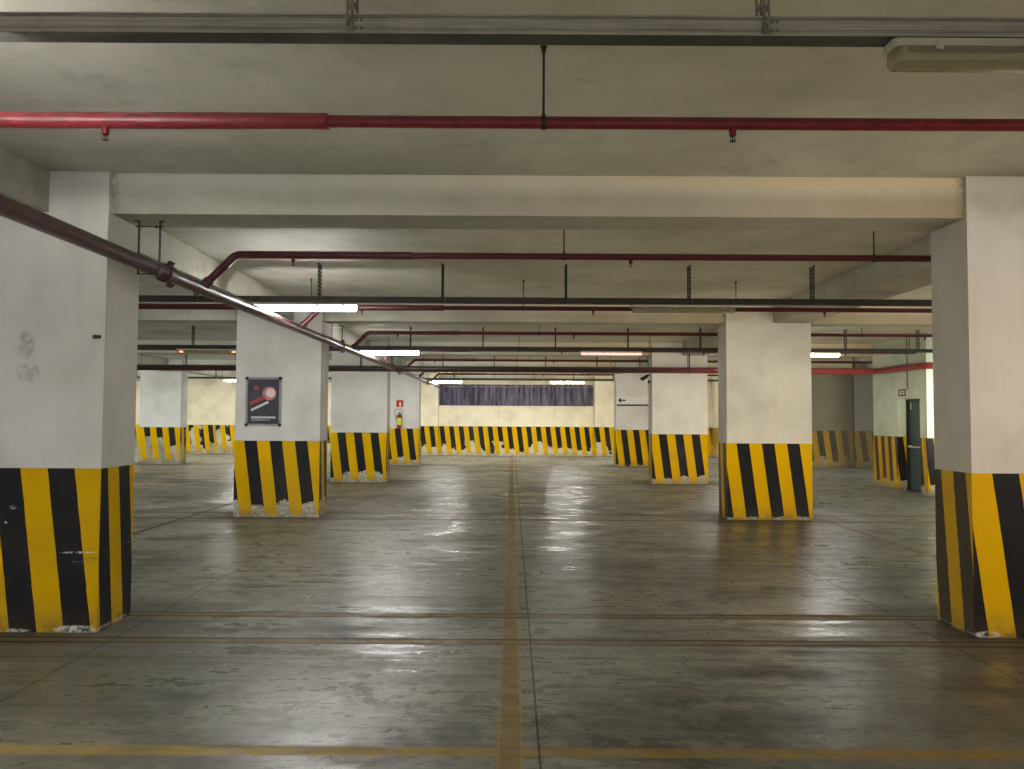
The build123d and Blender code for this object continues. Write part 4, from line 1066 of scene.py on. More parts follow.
# %% Operators of edit mode
def bevel(piece, test, offset, segments, kind="EDGE"):
    pick(piece, test, kind)
    bpy.ops.mesh.bevel(offset=offset, segments=segments)


def inset(piece, test, thickness, each=False):
    pick(piece, test)
    bpy.ops.mesh.inset(thickness=thickness, use_individual=each)


def open_up(piece, test, border):
    """A hole right through, from one picked face to the other, that leaves a border."""
    inset(piece, test, border, each=True)
    bpy.ops.mesh.bridge_edge_loops()


def cut_away(piece, test):
    pick(piece, test)
    bpy.ops.mesh.delete(type="FACE")


def extrude(*way):
    bpy.ops.mesh.extrude_region_move(TRANSFORM_OT_translate={"value": way})


def swell(distance):
    """Extrudes the selected faces outwards, each along its own normal."""
    bpy.ops.mesh.extrude_region_shrink_fatten(TRANSFORM_OT_shrink_fatten={"value": distance})


def move(*way):
    bpy.ops.transform.translate(value=way)


def scale(*factors):
    bpy.ops.transform.resize(value=factors)


def studded(piece, border, length):
    """A thinner stud on both ends of a bar along X."""
    inset(piece, ALONG_X, border, each=True)
    swell(length)


def pointed(piece, end, wider, way, tip):
    """Turns the picked end of a bar into an arrow head: widened, drawn out and narrowed."""
    pick(piece, end)
    extrude(0, 0, 0)
    scale(1, 1, wider)
    extrude(*way)
    scale(1, 1, tip)


def thickened(piece, thickness):
    """Gives an open shell its wall, towards the inside."""
    only(piece)
    wall = piece.modifiers.new("wall", "SOLIDIFY")
    wall.thickness = thickness
    bpy.ops.object.modifier_apply(modifier=wall.name)


# %% Finished, joined and repeated pieces
def done(piece, smooth=40):
    """Back to object mode, with edges sharper than smooth degrees kept sharp."""
    only(piece)
    bpy.ops.object.shade_smooth_by_angle(angle=math.radians(smooth))
    return piece


def joined(name, parts):
    nothing_selected()
    for part in parts:
        part.select_set(True)
    bpy.context.view_layer.objects.active = parts[0]
    if len(parts) > 1:
        bpy.ops.object.join()
    parts[0].name = name
    return parts[0]


def turned(place, angle, axis="Z"):
    """A matrix: turned about an axis through the origin, and then moved to a place."""
    return Matrix.Translation(place) @ Matrix.Rotation(angle, 4, axis)


def repeated(model, name, places):
    """The model at each place (a vector or a matrix), each with its own mesh, as one piece."""
    made = []
    for place in places:
        copy = model.copy()
        copy.data = model.data.copy()
        bpy.context.collection.objects.link(copy)
        copy.matrix_world = place if isinstance(place, Matrix) else Matrix.Translation(place)
        made.append(copy)
    bpy.data.objects.remove(model)
    piece = joined(name, made)
    bpy.ops.object.transform_apply(location=True, rotation=True, scale=True)
    return piece


def dressed(piece, *finishes, body="building", replaces=()):
    """Gives a new piece its finishes and its body, and hides the CAD nodes that it stands for."""
    piece.data.materials.clear()
    for finish in finishes:
        piece.data.materials.append(finish)
    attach(piece, body)
    if replaces:
        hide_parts(*replaces)
    print(piece.name, len(piece.data.polygons), "faces")
    return piece


def paint_faces(piece, slot, test):
    """Gives the faces for which test(middle, normal) holds the finish in that slot."""
    for face in piece.data.polygons:
        if test(face.center, face.normal):
            face.material_index = slot


# %% [markdown]
# ## Slotted straps of the trunking
# Each hanger is a pair of perforated steel straps, one on each side of the trunking, fixed with
# a bolt in one of the slots and an anchor in the ceiling. One pitch of strap is modelled with its
# slot, made by insetting the two wide faces and bridging them. An Array repeats it to the
# length that each strap has in the CAD, so the slots end evenly at both ends.

# %% Straps
SLOT_PITCH = 0.046
SLOT_BORDER_ACROSS, SLOT_BORDER_ALONG = 0.009, 0.012
straps_by_height = {}
for low, high in solids("trunking_hangers"):
    key = (round(high.x - low.x, 4), round(high.y - low.y, 4), round(high.z - low.z, 3))
    middle = (low + high) / 2
    straps_by_height.setdefault(key, []).append(Vector((middle.x, middle.y, low.z)))

groups = []
for (width, thick, height), places in straps_by_height.items():
    count = max(1, round(height / SLOT_PITCH))
    pitch = height / count
    strap = block("strap", (width, thick, pitch), (0, 0, pitch / 2))
    inset(strap, ALONG_Y, SLOT_BORDER_ACROSS, each=True)
    scale(1, 1, (pitch - 2 * SLOT_BORDER_ALONG) / (pitch - 2 * SLOT_BORDER_ACROSS))
    bpy.ops.mesh.bridge_edge_loops()
    cut_away(strap, lambda middle, normal: abs(normal.z) > 0.9
             and min(abs(middle.z), abs(middle.z - pitch)) < 1e-5)
    only(strap)
    array = strap.modifiers.new("pitches", "ARRAY")
    array.count = count
    array.use_relative_offset = False
    array.use_constant_offset = True
    array.constant_offset_displace = (0, 0, pitch)
    array.use_merge_vertices = True
    bpy.ops.object.modifier_apply(modifier=array.name)
    pick(strap, lambda middle, direction: abs(direction.z) < 0.1
         and (middle.z < 1e-4 or middle.z > height - 1e-4), "EDGE")
    bpy.ops.mesh.fill()
    groups.append(repeated(done(strap), f"straps_{len(groups)}", places))
trunking_straps = joined("trunking_straps", groups)
dressed(trunking_straps, strap_steel, replaces=("trunking_hangers",))

# %% Bolts and feet of the straps
BOLT_RADIUS, BOLT_HEIGHT = 0.0050, 0.004
bolt = rod("strap_bolt", BOLT_RADIUS, BOLT_HEIGHT, (0, 0, BOLT_HEIGHT / 2), sides=6)
bevel(bolt, UPWARD, 0.001, 1, "FACE")
washer = rod("washer", BOLT_RADIUS * 1.45, 0.0015, (0, 0, 0.00075), sides=14)
inset(washer, UPWARD, 0.002)
bolt = joined("strap_bolt", [done(bolt), done(washer)])
foot = block("foot", (0.026, 0.034, 0.004), (0, 0.017, -0.002))
bevel(foot, ALONG_Z, 0.004, 2)
anchor = rod("anchor", 0.008, 0.008, (0, 0.020, -0.008), sides=6)
inset(anchor, DOWNWARD, 0.003)
extrude(0, 0, -0.008)
foot = joined("foot", [done(foot), done(anchor)])

# %% Places of the bolts and feet
TRUNKING_MIDDLES = sorted({round(centre(box).y, 3) for box in solids("lighting_trunking")})


def side_of_trunking(y):
    """The middle of the nearest trunking, and 1 or -1 for the side of it where y is."""
    middle = min(TRUNKING_MIDDLES, key=lambda at: abs(at - y))
    return middle, 1 if y > middle else -1


bolts_at, feet_at = [], []
for low, high in solids("trunking_hangers"):
    x, y, _ = (low + high) / 2
    out = side_of_trunking(y)[1]
    face = high.y if out > 0 else low.y
    for level in (0.012, 0.045):
        bolts_at.append(turned((x, face, low.z + level), -out * math.pi / 2, "X"))
    feet_at.append(turned((x, face, high.z), 0 if out > 0 else math.pi))
dressed(repeated(bolt, "strap_bolts", bolts_at), strap_steel)
dressed(repeated(foot, "strap_feet", feet_at), strap_steel)

# %% [markdown]
# ## Light fittings
# A weatherproof fitting has a grey-white tray screwed under the trunking, a rim with a gasket,
# a clear trough that closes it from below, and clips that pull the trough to the rim. The tray
# is a box with rounded corners and bevelled upper edges. Cutting it a little above its lower
# edge and pushing that band outwards makes the rim.

# %% Trays
tray_box = solids("light_housings")[0]
TRAY_LENGTH, TRAY_WIDTH, TRAY_HEIGHT = (tray_box[1] - tray_box[0])
RIM_HEIGHT, RIM_OUT = 0.009, 0.004
tray = block("tray", (TRAY_LENGTH - 2 * RIM_OUT, TRAY_WIDTH - 2 * RIM_OUT, TRAY_HEIGHT),
             (0, 0, TRAY_HEIGHT / 2))
bevel(tray, ALONG_Z, 0.022, 5)
pick(tray, EVERYTHING)
bpy.ops.mesh.bisect(plane_co=(0, 0, RIM_HEIGHT), plane_no=(0, 0, 1))
pick(tray, lambda middle, normal: middle.z < RIM_HEIGHT and abs(normal.z) < 0.1)
swell(RIM_OUT)
inset(tray, lambda middle, normal: normal.z > 0.9 and middle.z > TRAY_HEIGHT - 1e-4, 0.010)
pick(tray, lambda middle, direction: LEVEL(middle, direction) and middle.z > TRAY_HEIGHT - 1e-4
     and (abs(middle.y) > TRAY_WIDTH / 2 - RIM_OUT - 1e-3
          or abs(middle.x) > TRAY_LENGTH / 2 - RIM_OUT - 0.021), "EDGE")
move(0, 0, -0.008)
trays_at = [foot_of(box) for box in solids("light_housings")]
light_trays = repeated(done(tray), "light_trays", trays_at)
dressed(light_trays, white_plastic, replaces=("light_housings",))

# %% Clips
CLIP_XS = (-0.47, -0.16, 0.16, 0.47)
clip = block("clip", (0.028, 0.004, 0.030), (0, 0, -0.002))
bevel(clip, ALONG_Y, 0.005, 2)
inset(clip, FORWARD, 0.005)
extrude(0, -0.003, 0)
clips_at = []
for place in trays_at:
    for x in CLIP_XS:
        for side in (1, -1):
            at_rim = Vector((x, side * (TRAY_WIDTH / 2 + 0.0015), 0.002))
            clips_at.append(turned(place + at_rim, 0 if side < 0 else math.pi))
dressed(repeated(done(clip), "light_clips", clips_at), clip_plastic)

# %% Troughs
cover_box = solids("dark_light_covers")[0]
COVER_LENGTH, COVER_WIDTH, COVER_HEIGHT = (cover_box[1] - cover_box[0])
COVER_WALL = 0.0025
DIM_END = 0.055


def trough(name, node, finish, hollow, ends=None):
    """The covers of one kind: a rounded trough, open at the top when it is clear."""
    piece = block(name, (COVER_LENGTH, COVER_WIDTH, COVER_HEIGHT), (0, 0, -COVER_HEIGHT / 2))
    bevel(piece, ALONG_Z, 0.024, 5)
    bevel(piece, lambda middle, direction: LEVEL(middle, direction) and middle.z < -COVER_HEIGHT + 1e-4,
          0.026, 6)
    if ends:
        for side in (1, -1):
            pick(piece, EVERYTHING)
            bpy.ops.mesh.bisect(plane_co=(side * (COVER_LENGTH / 2 - DIM_END), 0, 0), plane_no=(1, 0, 0))
        nothing_selected()
        piece.data.materials.append(finish)
        piece.data.materials.append(ends)
        paint_faces(piece, 1, lambda middle, normal: abs(middle.x) > COVER_LENGTH / 2 - DIM_END)
    if hollow:
        cut_away(piece, lambda middle, normal: normal.z > 0.9 and middle.z > -1e-4)
        thickened(piece, COVER_WALL)
    places = [top_of(box) for box in solids(node)]
    piece = repeated(done(piece, 50), name, places)
    return dressed(piece, *([finish, ends] if ends else [finish]), replaces=(node,))


trough("lit_troughs", "lit_light_covers", cover_lit, False, cover_end)
trough("fading_trough", "fading_light_cover", cover_fading, False)
trough("dark_troughs", "dark_light_covers", clear_plastic, True)

# %% Tubes in the dark fittings
TUBE_RADIUS, TUBE_LENGTH, TUBE_APART = 0.013, 1.15, 0.046
tube = rod("tube", TUBE_RADIUS, TUBE_LENGTH, along="X", sides=16)
studded(tube, 0.001, 0.012)
done(tube)
holder = block("holder", (0.016, 0.034, 0.046), (TUBE_LENGTH / 2 + 0.010, 0, 0.006))
bevel(holder, lambda middle, direction: abs(direction.x) > 0.9 and middle.z < 0, 0.012, 4)
other = holder.copy()
other.data = holder.data.copy()
bpy.context.collection.objects.link(other)
other.matrix_world = Matrix.Translation((-TUBE_LENGTH - 0.020, 0, 0))
pair = joined("tube", [tube, done(holder), other])
BESIDE = Vector((0, TUBE_APART / 2, 0))
BELOW_TOP = Vector((0, 0, -0.028))
tubes_at = [top_of(box) + side * BESIDE + BELOW_TOP
            for box in solids("dark_light_covers") for side in (-1, 1)]
dressed(repeated(pair, "dark_tubes", tubes_at), tube_white)

# %% Glowing ends of a dying pair of tubes
DYING_X, DYING_Y = -2.515, 0.0
GLOW_LENGTH = 0.075
dying = min(solids("dark_light_covers"),
            key=lambda box: (centre(box) - Vector((DYING_X, DYING_Y, centre(box).z))).length)
glow_end = glowing("tube_end_glow", srgb(255, 176, 150), 3.0)
glow = rod("glow", TUBE_RADIUS + 0.001, GLOW_LENGTH, along="X", sides=16)
FROM_MIDDLE = Vector(((TUBE_LENGTH - GLOW_LENGTH) / 2, 0, 0))
glows_at = [top_of(dying) + end * FROM_MIDDLE + side * BESIDE + BELOW_TOP
            for end in (-1, 1) for side in (-1, 1)]
dressed(repeated(done(glow), "tube_end_glows", glows_at), glow_end)

# %% [markdown]
# ## Sprinkler heads
# A pendent head is a threaded body with a hexagon for the wrench, a yoke round a small glass
# bulb, and a toothed plate that spreads the water. The plate's teeth come from a flat cylinder
# whose every second side face is pushed outwards.

# %% Sprinkler heads
head_box = solids("sprinkler_heads")[0]
HEAD_DROP = head_box[1].z - head_box[0].z
body = rod("head_body", 0.011, 0.012, (0, 0, -0.006), sides=20)
hexagon = rod("head_hexagon", 0.014, 0.007, (0, 0, -0.0155), sides=6)
bevel(hexagon, LEVEL, 0.0012, 1)
neck = rod("head_neck", 0.010, 0.005, (0, 0, -0.0215), sides=16)
pick(neck, DOWNWARD)
extrude(0, 0, -0.004)
scale(0.5, 0.5, 1)
yoke = ring("head_yoke", 0.0115, 0.0021, (0, 0, -0.036), (math.pi / 2, 0, 0), 20, 6)
pick(yoke, EVERYTHING)
bpy.ops.transform.resize(value=(1, 1, 1.15), center_override=(0, 0, -0.036))
bulb = rod("head_bulb", 0.0022, 0.020, (0, 0, -0.036), sides=8)
plate = rod("head_plate", 0.0125, 0.0015, (0, 0, -HEAD_DROP + 0.0050), sides=24)
pick(plate, lambda middle, normal: abs(normal.z) < 0.1
     and int((math.atan2(middle.y, middle.x) + math.pi) / (math.pi / 12)) % 2 == 0)
swell(0.0045)
tip = rod("head_tip", 0.004, 0.006, (0, 0, -HEAD_DROP + 0.003), sides=10)
head = joined("head", [done(part) for part in (body, hexagon, neck, yoke, bulb, plate, tip)])
heads_at = [top_of(box) for box in solids("sprinkler_heads")]
pipe_heads = repeated(head, "pipe_heads", heads_at)
dressed(pipe_heads, head_metal, replaces=("sprinkler_heads",))
socket = rod("socket", 0.0175, 0.028, (0, 0, -0.008), sides=24)
inset(socket, DOWNWARD, 0.003)
move(0, 0, -0.002)
dressed(repeated(done(socket), "head_sockets", heads_at), pipe_enamel)

# %% [markdown]
# ## Banner
# A sheet of plain cloth, roped flat along the wall between two pilasters. It is a fine grid on
# which a few shallow waves hang from the eyelets: they fade out towards the tight upper edge
# and run together at the lower corners.

# %% Banner cloth
banner_low, banner_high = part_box("wall_banner")
BANNER_WIDTH = banner_high[0] - banner_low[0]
BANNER_HEIGHT = banner_high[2] - banner_low[2]
WAVE_DEPTH = 0.007
nothing_selected()
bpy.ops.mesh.primitive_grid_add(x_subdivisions=160, y_subdivisions=24, size=1,
                                location=((banner_low[0] + banner_high[0]) / 2, banner_high[1] - 0.010,
                                          (banner_low[2] + banner_high[2]) / 2),
                                rotation=(math.pi / 2, 0, 0))
bpy.context.object.scale = (BANNER_WIDTH, BANNER_HEIGHT, 1)
cloth = started("banner_cloth")
for vertex in cloth.data.vertices:
    along = (vertex.co.x - banner_low[0]) / BANNER_WIDTH
    down = (banner_high[2] - vertex.co.z) / BANNER_HEIGHT
    loose = math.sin(math.pi * min(1.0, down * 1.3)) * 0.6 + 0.4 * down
    wide_wave = math.sin(along * math.tau * 9 + 1.6 * down)
    wave = wide_wave + 0.6 * math.sin(along * math.tau * 23 + 3.0 * down)
    vertex.co.y -= WAVE_DEPTH * loose * (0.5 + 0.3 * wave)
done(cloth, 60)
dressed(cloth, banner_finish, replaces=("wall_banner",))

# %% Banner eyelets
EYELET_PITCH = 0.53
eyelet = ring("eyelet", 0.011, 0.003, turn=(math.pi / 2, 0, 0), sides=16, around=6)
pick(eyelet, EVERYTHING)
scale(1, 0.5, 1)
eyelets_at = []
count = int(BANNER_WIDTH / EYELET_PITCH)
for index in range(count + 1):
    x = banner_low[0] + 0.03 + index * (BANNER_WIDTH - 0.06) / count
    for z in (banner_low[2] + 0.025, banner_high[2] - 0.025):
        eyelets_at.append(Vector((x, banner_low[1] - 0.003, z)))
dressed(repeated(done(eyelet), "banner_eyelets", eyelets_at), galvanised)

# %% [markdown]
# ## Pipe work
# Rods end in nuts: one on top of the ring that holds the pipe and one under the anchor in the
# ceiling. The flat straps of the mains have angle feet, a cross bolt that keeps the two legs
# parallel, and nuts. Couplings of the main are two half shells pulled together by bolts through
# ears, so a lump shows above and below the pipe.

# %% Nuts and anchors of the rods
nut = rod("nut", 0.0105, 0.009, sides=6)
bevel(nut, LEVEL, 0.0012, 1)
anchor = rod("anchor", 0.012, 0.016, sides=16)
pick(anchor, UPWARD)
extrude(0, 0, 0.006)
scale(1.6, 1.6, 1)
nuts_at, anchors_at = [], []
for low, high in solids("branch_pipe_hangers"):
    x, y, _ = (low + high) / 2
    ring_top = low.z + (high.y - low.y)
    nuts_at += [Vector((x, y, ring_top + 0.005)), Vector((x, y, high.z - 0.030))]
    anchors_at.append(Vector((x, y, high.z - 0.014)))
dressed(repeated(done(nut), "rod_nuts", nuts_at), dark_steel)
dressed(repeated(done(anchor), "rod_anchors", anchors_at), dark_steel)

# %% Feet and cross bolts of the flat straps
foot = block("strap_foot", (0.034, 0.028, 0.004), (0, 0, -0.002))
bevel(foot, ALONG_Z, 0.006, 3)
foot_bolt = rod("foot_bolt", 0.006, 0.006, (0.0, 0, -0.007), sides=6)
inset(foot_bolt, DOWNWARD, 0.003)
extrude(0, 0, -0.003)
foot = joined("strap_foot", [done(foot), done(foot_bolt)])
FOOT_OUT = 0.016
cross_bolt = rod("cross_bolt", 0.005, 0.215, along="X", sides=12)
studded(cross_bolt, 0.0015, 0.002)
ends = [rod("end_nut", 0.010, 0.008, (side * 0.091, 0, 0), "X", 6) for side in (-1, 1)]
eye = ring("eye", 0.013, 0.0035, (0.052, 0, 0), (0, math.pi / 2, 0), 16, 6)
cross_bolt = joined("cross_bolt", [done(part) for part in [cross_bolt, eye] + ends])
CROSS_BOLT_DOWN = 0.046
feet_at, crosses_at = [], []
for low, high in solids("main_pipe_straps"):
    x, y, _ = (low + high) / 2
    along_x = high.x - low.x > high.y - low.y
    turn = 0 if along_x else math.pi / 2
    half = max(high.x - low.x, high.y - low.y) / 2
    for side in (-1, 1):
        out = side * (half + FOOT_OUT)
        shift = Vector((out, 0, 0)) if along_x else Vector((0, out, 0))
        feet_at.append(turned(Vector((x, y, high.z)) + shift, turn))
    crosses_at.append(turned((x, y, high.z - CROSS_BOLT_DOWN), turn))
dressed(repeated(foot, "flat_strap_feet", feet_at), dark_steel)
dressed(repeated(cross_bolt, "flat_strap_bolts", crosses_at), dark_steel)

# %% Ears of the couplings
COUPLING_RADIUS, COUPLING_AFTER_ROW = 0.076, 0.345
main_low, main_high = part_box("sprinkler_main")
MAIN_X = (main_low[0] + main_high[0]) / 2
MAIN_Z = main_low[2] + COUPLING_RADIUS
ear = block("ear", (0.030, 0.062, 0.050), (0, 0, COUPLING_RADIUS + 0.010))
bevel(ear, EVERYTHING, 0.010, 3)
ear_bolt = rod("ear_bolt", 0.007, 0.066, (0, 0, COUPLING_RADIUS + 0.014), "X", 12)
studded(ear_bolt, 0.002, 0.002)
heads = [rod("ear_nut", 0.012, 0.01, (side * 0.021, 0, COUPLING_RADIUS + 0.014), "X", 6)
         for side in (-1, 1)]
ear = joined("ear", [done(part) for part in [ear, ear_bolt] + heads])
ears_at = [turned((MAIN_X, y + COUPLING_AFTER_ROW, MAIN_Z), turn, "Y")
           for y in ROWS[1:-1] for turn in (0, math.pi)]
dressed(repeated(ear, "coupling_ears", ears_at), main_enamel)

# %% Screws of the trunking joints
screw = rod("screw", 0.0055, 0.003, (0, 0, 0.0015), sides=12)
bevel(screw, UPWARD, 0.0015, 2, "FACE")
TRUNKING_HALF = 0.036
screws_at = []
for low, high in solids("trunking_hangers"):
    x, y, _ = (low + high) / 2
    middle, out = side_of_trunking(y)
    face = middle + out * TRUNKING_HALF
    screws_at += [turned((x + step, face, low.z + level), -out * math.pi / 2, "X")
                  for step in (0.022, 0.040) for level in (0.014, 0.045)]
dressed(repeated(done(screw), "trunking_screws", screws_at), galvanised)

# %% [markdown]
# ## Poster frame
# A snap frame of aluminium profile with round plastic corners and a bead round the panel.

# %% Corners and bead
frame_low, frame_high = corners_of("poster_frame")
corner = rod("corner", 0.027, 0.007, along="Y", sides=28)
inset(corner, FORWARD, 0.004)
move(0, -0.0025, 0)
corners_at = [Vector((x, frame_low.y - 0.0015, z)) for x in (frame_low.x + 0.016, frame_high.x - 0.016)
              for z in (frame_low.z + 0.016, frame_high.z - 0.016)]
dressed(repeated(done(corner), "poster_corners", corners_at), black_plastic)
PROFILE = 0.028
inner_width = frame_high.x - frame_low.x - 2 * PROFILE + 0.008
inner_height = frame_high.z - frame_low.z - 2 * PROFILE + 0.008
bead = block("bead", (inner_width, 0.004, inner_height),
             ((frame_low.x + frame_high.x) / 2, frame_low.y + 0.004, (frame_low.z + frame_high.z) / 2))
open_up(bead, ALONG_Y, 0.009)
dressed(done(bead), frame_metal)

# %% [markdown]
# ## Extinguisher
# The cylinder gets a paper band round it, the valve a pressure gauge and a pin ring. The band is a
# slice of a slightly larger cylinder whose rear faces are deleted.

# %% Extinguisher details
low, high = corners_of("extinguisher_cylinder")
middle_x, middle_y = (low.x + high.x) / 2, (low.y + high.y) / 2
radius = (high.x - low.x) / 2
band = rod("extinguisher_band", radius + 0.0008, 0.235, (middle_x, middle_y, low.z + 0.235), sides=48)
cut_away(band, lambda middle, normal: abs(normal.z) > 0.9 or middle.y > middle_y - 0.035)
thickened(band, 0.0006)
dressed(done(band), label_finish)
low, high = corners_of("extinguisher_valve")
gauge = rod("gauge", 0.014, 0.012, (middle_x + 0.012, low.y - 0.003, low.z + 0.016), "Y", 24)
inset(gauge, FORWARD, 0.0025)
extrude(0, 0.003, 0)
dressed(done(gauge), tube_white)
pin_ring = ring("pin_ring", 0.012, 0.0016, (middle_x - 0.03, low.y + 0.01, low.z + 0.03),
                (0, math.pi / 2, 0.4))
pick(pin_ring, EVERYTHING)
scale(1, 1, 1.2)
dressed(done(pin_ring), galvanised)

# %% [markdown]
# ## Signs
# Both signs are bare plates in the CAD. Their marks are thin raised films, cut to shape: a
# white border and a plain pictogram on red, and an arrow over a bar on white. An arrow starts
# as its shaft: the end face is widened and then drawn to a point.


# %% Films for signs
def film(name, width, height, x, face, z, thick=0.0012):
    """A thin rectangle on a face that looks along -Y."""
    return block(name, (width, thick, height), (x, face - thick / 2, z))


def border(name, low, high, face, set_in, width, finish):
    """A frame of film set in from the plate's edge."""
    outer_width, outer_height = high.x - low.x - 2 * set_in, high.z - low.z - 2 * set_in
    piece = film(name, outer_width, outer_height, (low.x + high.x) / 2, face, (low.z + high.z) / 2)
    open_up(piece, ALONG_Y, width)
    return dressed(done(piece), finish)


low, high = corners_of("extinguisher_sign")
face, x, z = low.y, (low.x + high.x) / 2, (low.z + high.z) / 2
border("extinguisher_sign_border", low, high, face, 0.008, 0.006, film_white)
bottle = film("pictogram_bottle", 0.052, 0.105, x + 0.012, face, z - 0.030)
bevel(bottle, ALONG_Y, 0.016, 5)
neck = film("pictogram_neck", 0.016, 0.030, x + 0.012, face, z + 0.036)
lever = film("pictogram_lever", 0.050, 0.010, x + 0.004, face, z + 0.055)
pick(lever, LEFTWARD)
move(0, 0, 0.012)
hose = film("pictogram_hose", 0.010, 0.090, x - 0.036, face, z - 0.010)
pick(hose, UPWARD)
move(0.034, 0, 0)
dressed(joined("extinguisher_pictogram", [done(part) for part in (bottle, neck, lever, hose)]),
        film_white)

low, high = corners_of("direction_sign")
face, z = low.y, (low.z + high.z) / 2
shaft = film("arrow", 0.150, 0.046, low.x + 0.235, face, z + 0.035)
pointed(shaft, LEFTWARD, 4.4, (-0.095, 0, 0), 0.04)
bar = film("sign_bar", high.x - low.x - 0.03, 0.056, (low.x + high.x) / 2, face, low.z + 0.040)
bevel(bar, ALONG_Y, 0.010, 3)
dressed(joined("direction_marks", [done(shaft), done(bar)]), black_plastic)

# %% [markdown]
# ## Exit light, camera and door
# The exit light is a white box in the CAD. It gets a dark surround, recessed pale face and an
# arrow. The camera gets a sun hood, which is the upper half of a larger cylinder, and a lens
# behind a bezel. The leaf gets a lock plate and a small sticker.

# %% Exit light surround
low, high = corners_of("exit_light")
y, z = (low.y + high.y) / 2, (low.z + high.z) / 2
surround = block("exit_surround", (0.014, high.y - low.y + 0.01, high.z - low.z + 0.01),
                 (low.x - 0.002, y, z))
open_up(surround, ALONG_X, 0.028)
dressed(done(surround), black_plastic)
arrow = block("exit_arrow", (0.002, 0.070, 0.020), (low.x - 0.001, y + 0.02, z))
pointed(arrow, FORWARD, 3.2, (0, -0.034, 0), 0.05)
dressed(done(arrow), black_plastic)

# %% Camera hood, lens and bracket
low, high = corners_of("security_camera")
CAMERA_RADIUS, CAMERA_LENGTH = 0.042, 0.200
CAMERA_AIM = Vector((-0.80, -0.40, -0.45)).normalized()
reach_x = CAMERA_LENGTH / 2 * abs(CAMERA_AIM.x) + CAMERA_RADIUS * math.sqrt(1 - CAMERA_AIM.x ** 2)
body_middle = Vector((low.x + reach_x, (low.y + high.y) / 2, (low.z + high.z) / 2))
across = Vector((0, 0, 1)).cross(CAMERA_AIM).normalized()
upright = CAMERA_AIM.cross(across)
aimed = Matrix((CAMERA_AIM, across, upright)).transposed().to_4x4()
aimed.translation = body_middle
hood = rod("camera_hood", CAMERA_RADIUS + 0.008, CAMERA_LENGTH + 0.030, (0.010, 0, 0), "X", 32)
cut_away(hood, lambda middle, normal: abs(normal.x) > 0.9 or normal.z < -0.25)
pick(hood, EVERYTHING)
bpy.ops.mesh.solidify(thickness=0.003)
bezel = rod("camera_bezel", 0.034, 0.012, (CAMERA_LENGTH / 2 + 0.004, 0, 0), "X", 28)
inset(bezel, RIGHTWARD, 0.007)
move(-0.005, 0, 0)
glass = rod("camera_glass", 0.022, 0.004, (CAMERA_LENGTH / 2 + 0.007, 0, 0), "X", 24)
inset(glass, RIGHTWARD, 0.010)
move(0.002, 0, 0)
lens_glass = moulded("lens_glass", srgb(16, 18, 24), 0.06)
dressed(repeated(joined("camera_hood", [done(hood), done(bezel)]), "camera_hood", [aimed]), black_plastic)
dressed(repeated(done(glass), "camera_lens", [aimed]), lens_glass)
bracket_white = moulded("bracket_white", srgb(208, 208, 204), 0.45)
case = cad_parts["security_camera"]
case.data.materials.append(bracket_white)
paint_faces(case, len(case.data.materials) - 1,
            lambda middle, normal: middle.x > high.x - 0.100 and abs(middle.z - body_middle.z) < 0.05)
junction_at = (high.x - 0.025, body_middle.y, body_middle.z - 0.110)
junction = rod("camera_junction", 0.036, 0.050, junction_at, "X", 24)
inset(junction, LEFTWARD, 0.008)
move(-0.008, 0, 0)
dressed(done(junction), black_plastic)

# %% Door sticker and lock plate
low, high = corners_of("emergency_door")
sticker = block("door_sticker", (0.001, 0.055, 0.140), (low.x - 0.0005, high.y - 0.10, FLOOR + 1.89))
bevel(sticker, ALONG_X, 0.006, 3)
dressed(done(sticker), film_white, body="door")
lock = block("lock_plate", (0.003, 0.045, 0.180), (low.x - 0.0015, low.y + 0.060, FLOOR + 1.16))
bevel(lock, ALONG_X, 0.012, 4)
dressed(done(lock), galvanised, body="door")

# %% [markdown]
# ## Cable hook
# A small black bracket on the near left column: a screwed plate and a bent arm.

# %% Hook
low, high = corners_of("cable_hook")
x, z = (low.x + high.x) / 2, (low.z + high.z) / 2
plate = block("hook_plate", (high.x - low.x, 0.004, high.z - low.z), (x, high.y - 0.002, z))
bevel(plate, ALONG_Y, 0.008, 3)
arm = ring("hook_arm", 0.011, 0.0035, (x - 0.012, high.y - 0.013, z), (0, math.pi / 2, 0), 18, 8)
grip = block("hook_grip", (0.040, 0.010, 0.006), (x + 0.006, high.y - 0.008, z + 0.009))
pick(grip, FORWARD)
extrude(0, -0.012, -0.010)
screws = [rod("hook_screw", 0.004, 0.003, (x + side * 0.026, high.y - 0.0055, z), "Y", 10)
          for side in (-1, 1)]
dressed(joined("column_hook", [done(part) for part in [plate, arm, grip] + screws]), dark_steel,
        replaces=("cable_hook",))

# %% [markdown]
# ## Light
# Inside, broad sheets of soft light stand in for the light that floor and ceiling throw back,
# and wide lamps in each bay for the fittings, which light what stands further in. Outside, the
# world is plain and pale. Lamps are hidden from the camera and from reflections, so the floor
# mirrors only the covers.


# %% Lamps
def soft_lamp(name, place, size, power, facing=(0, 0, -1), colour=(1, 1, 1), spread=180):
    lamp = bpy.data.lights.new(name, "AREA")
    lamp.spread = math.radians(spread)
    lamp.shape = "RECTANGLE"
    lamp.size, lamp.size_y = size
    lamp.energy = power
    lamp.color = colour
    lamp.cycles.use_multiple_importance_sampling = False
    holder = bpy.data.objects.new(name, lamp)
    bpy.context.collection.objects.link(holder)
    aim = Vector(facing).to_track_quat("-Z", "Y").to_matrix().to_4x4()
    holder.matrix_world = Matrix.Translation(place) @ aim
    holder.visible_camera = False
    holder.visible_glossy = False
    holder.visible_transmission = False
    return holder


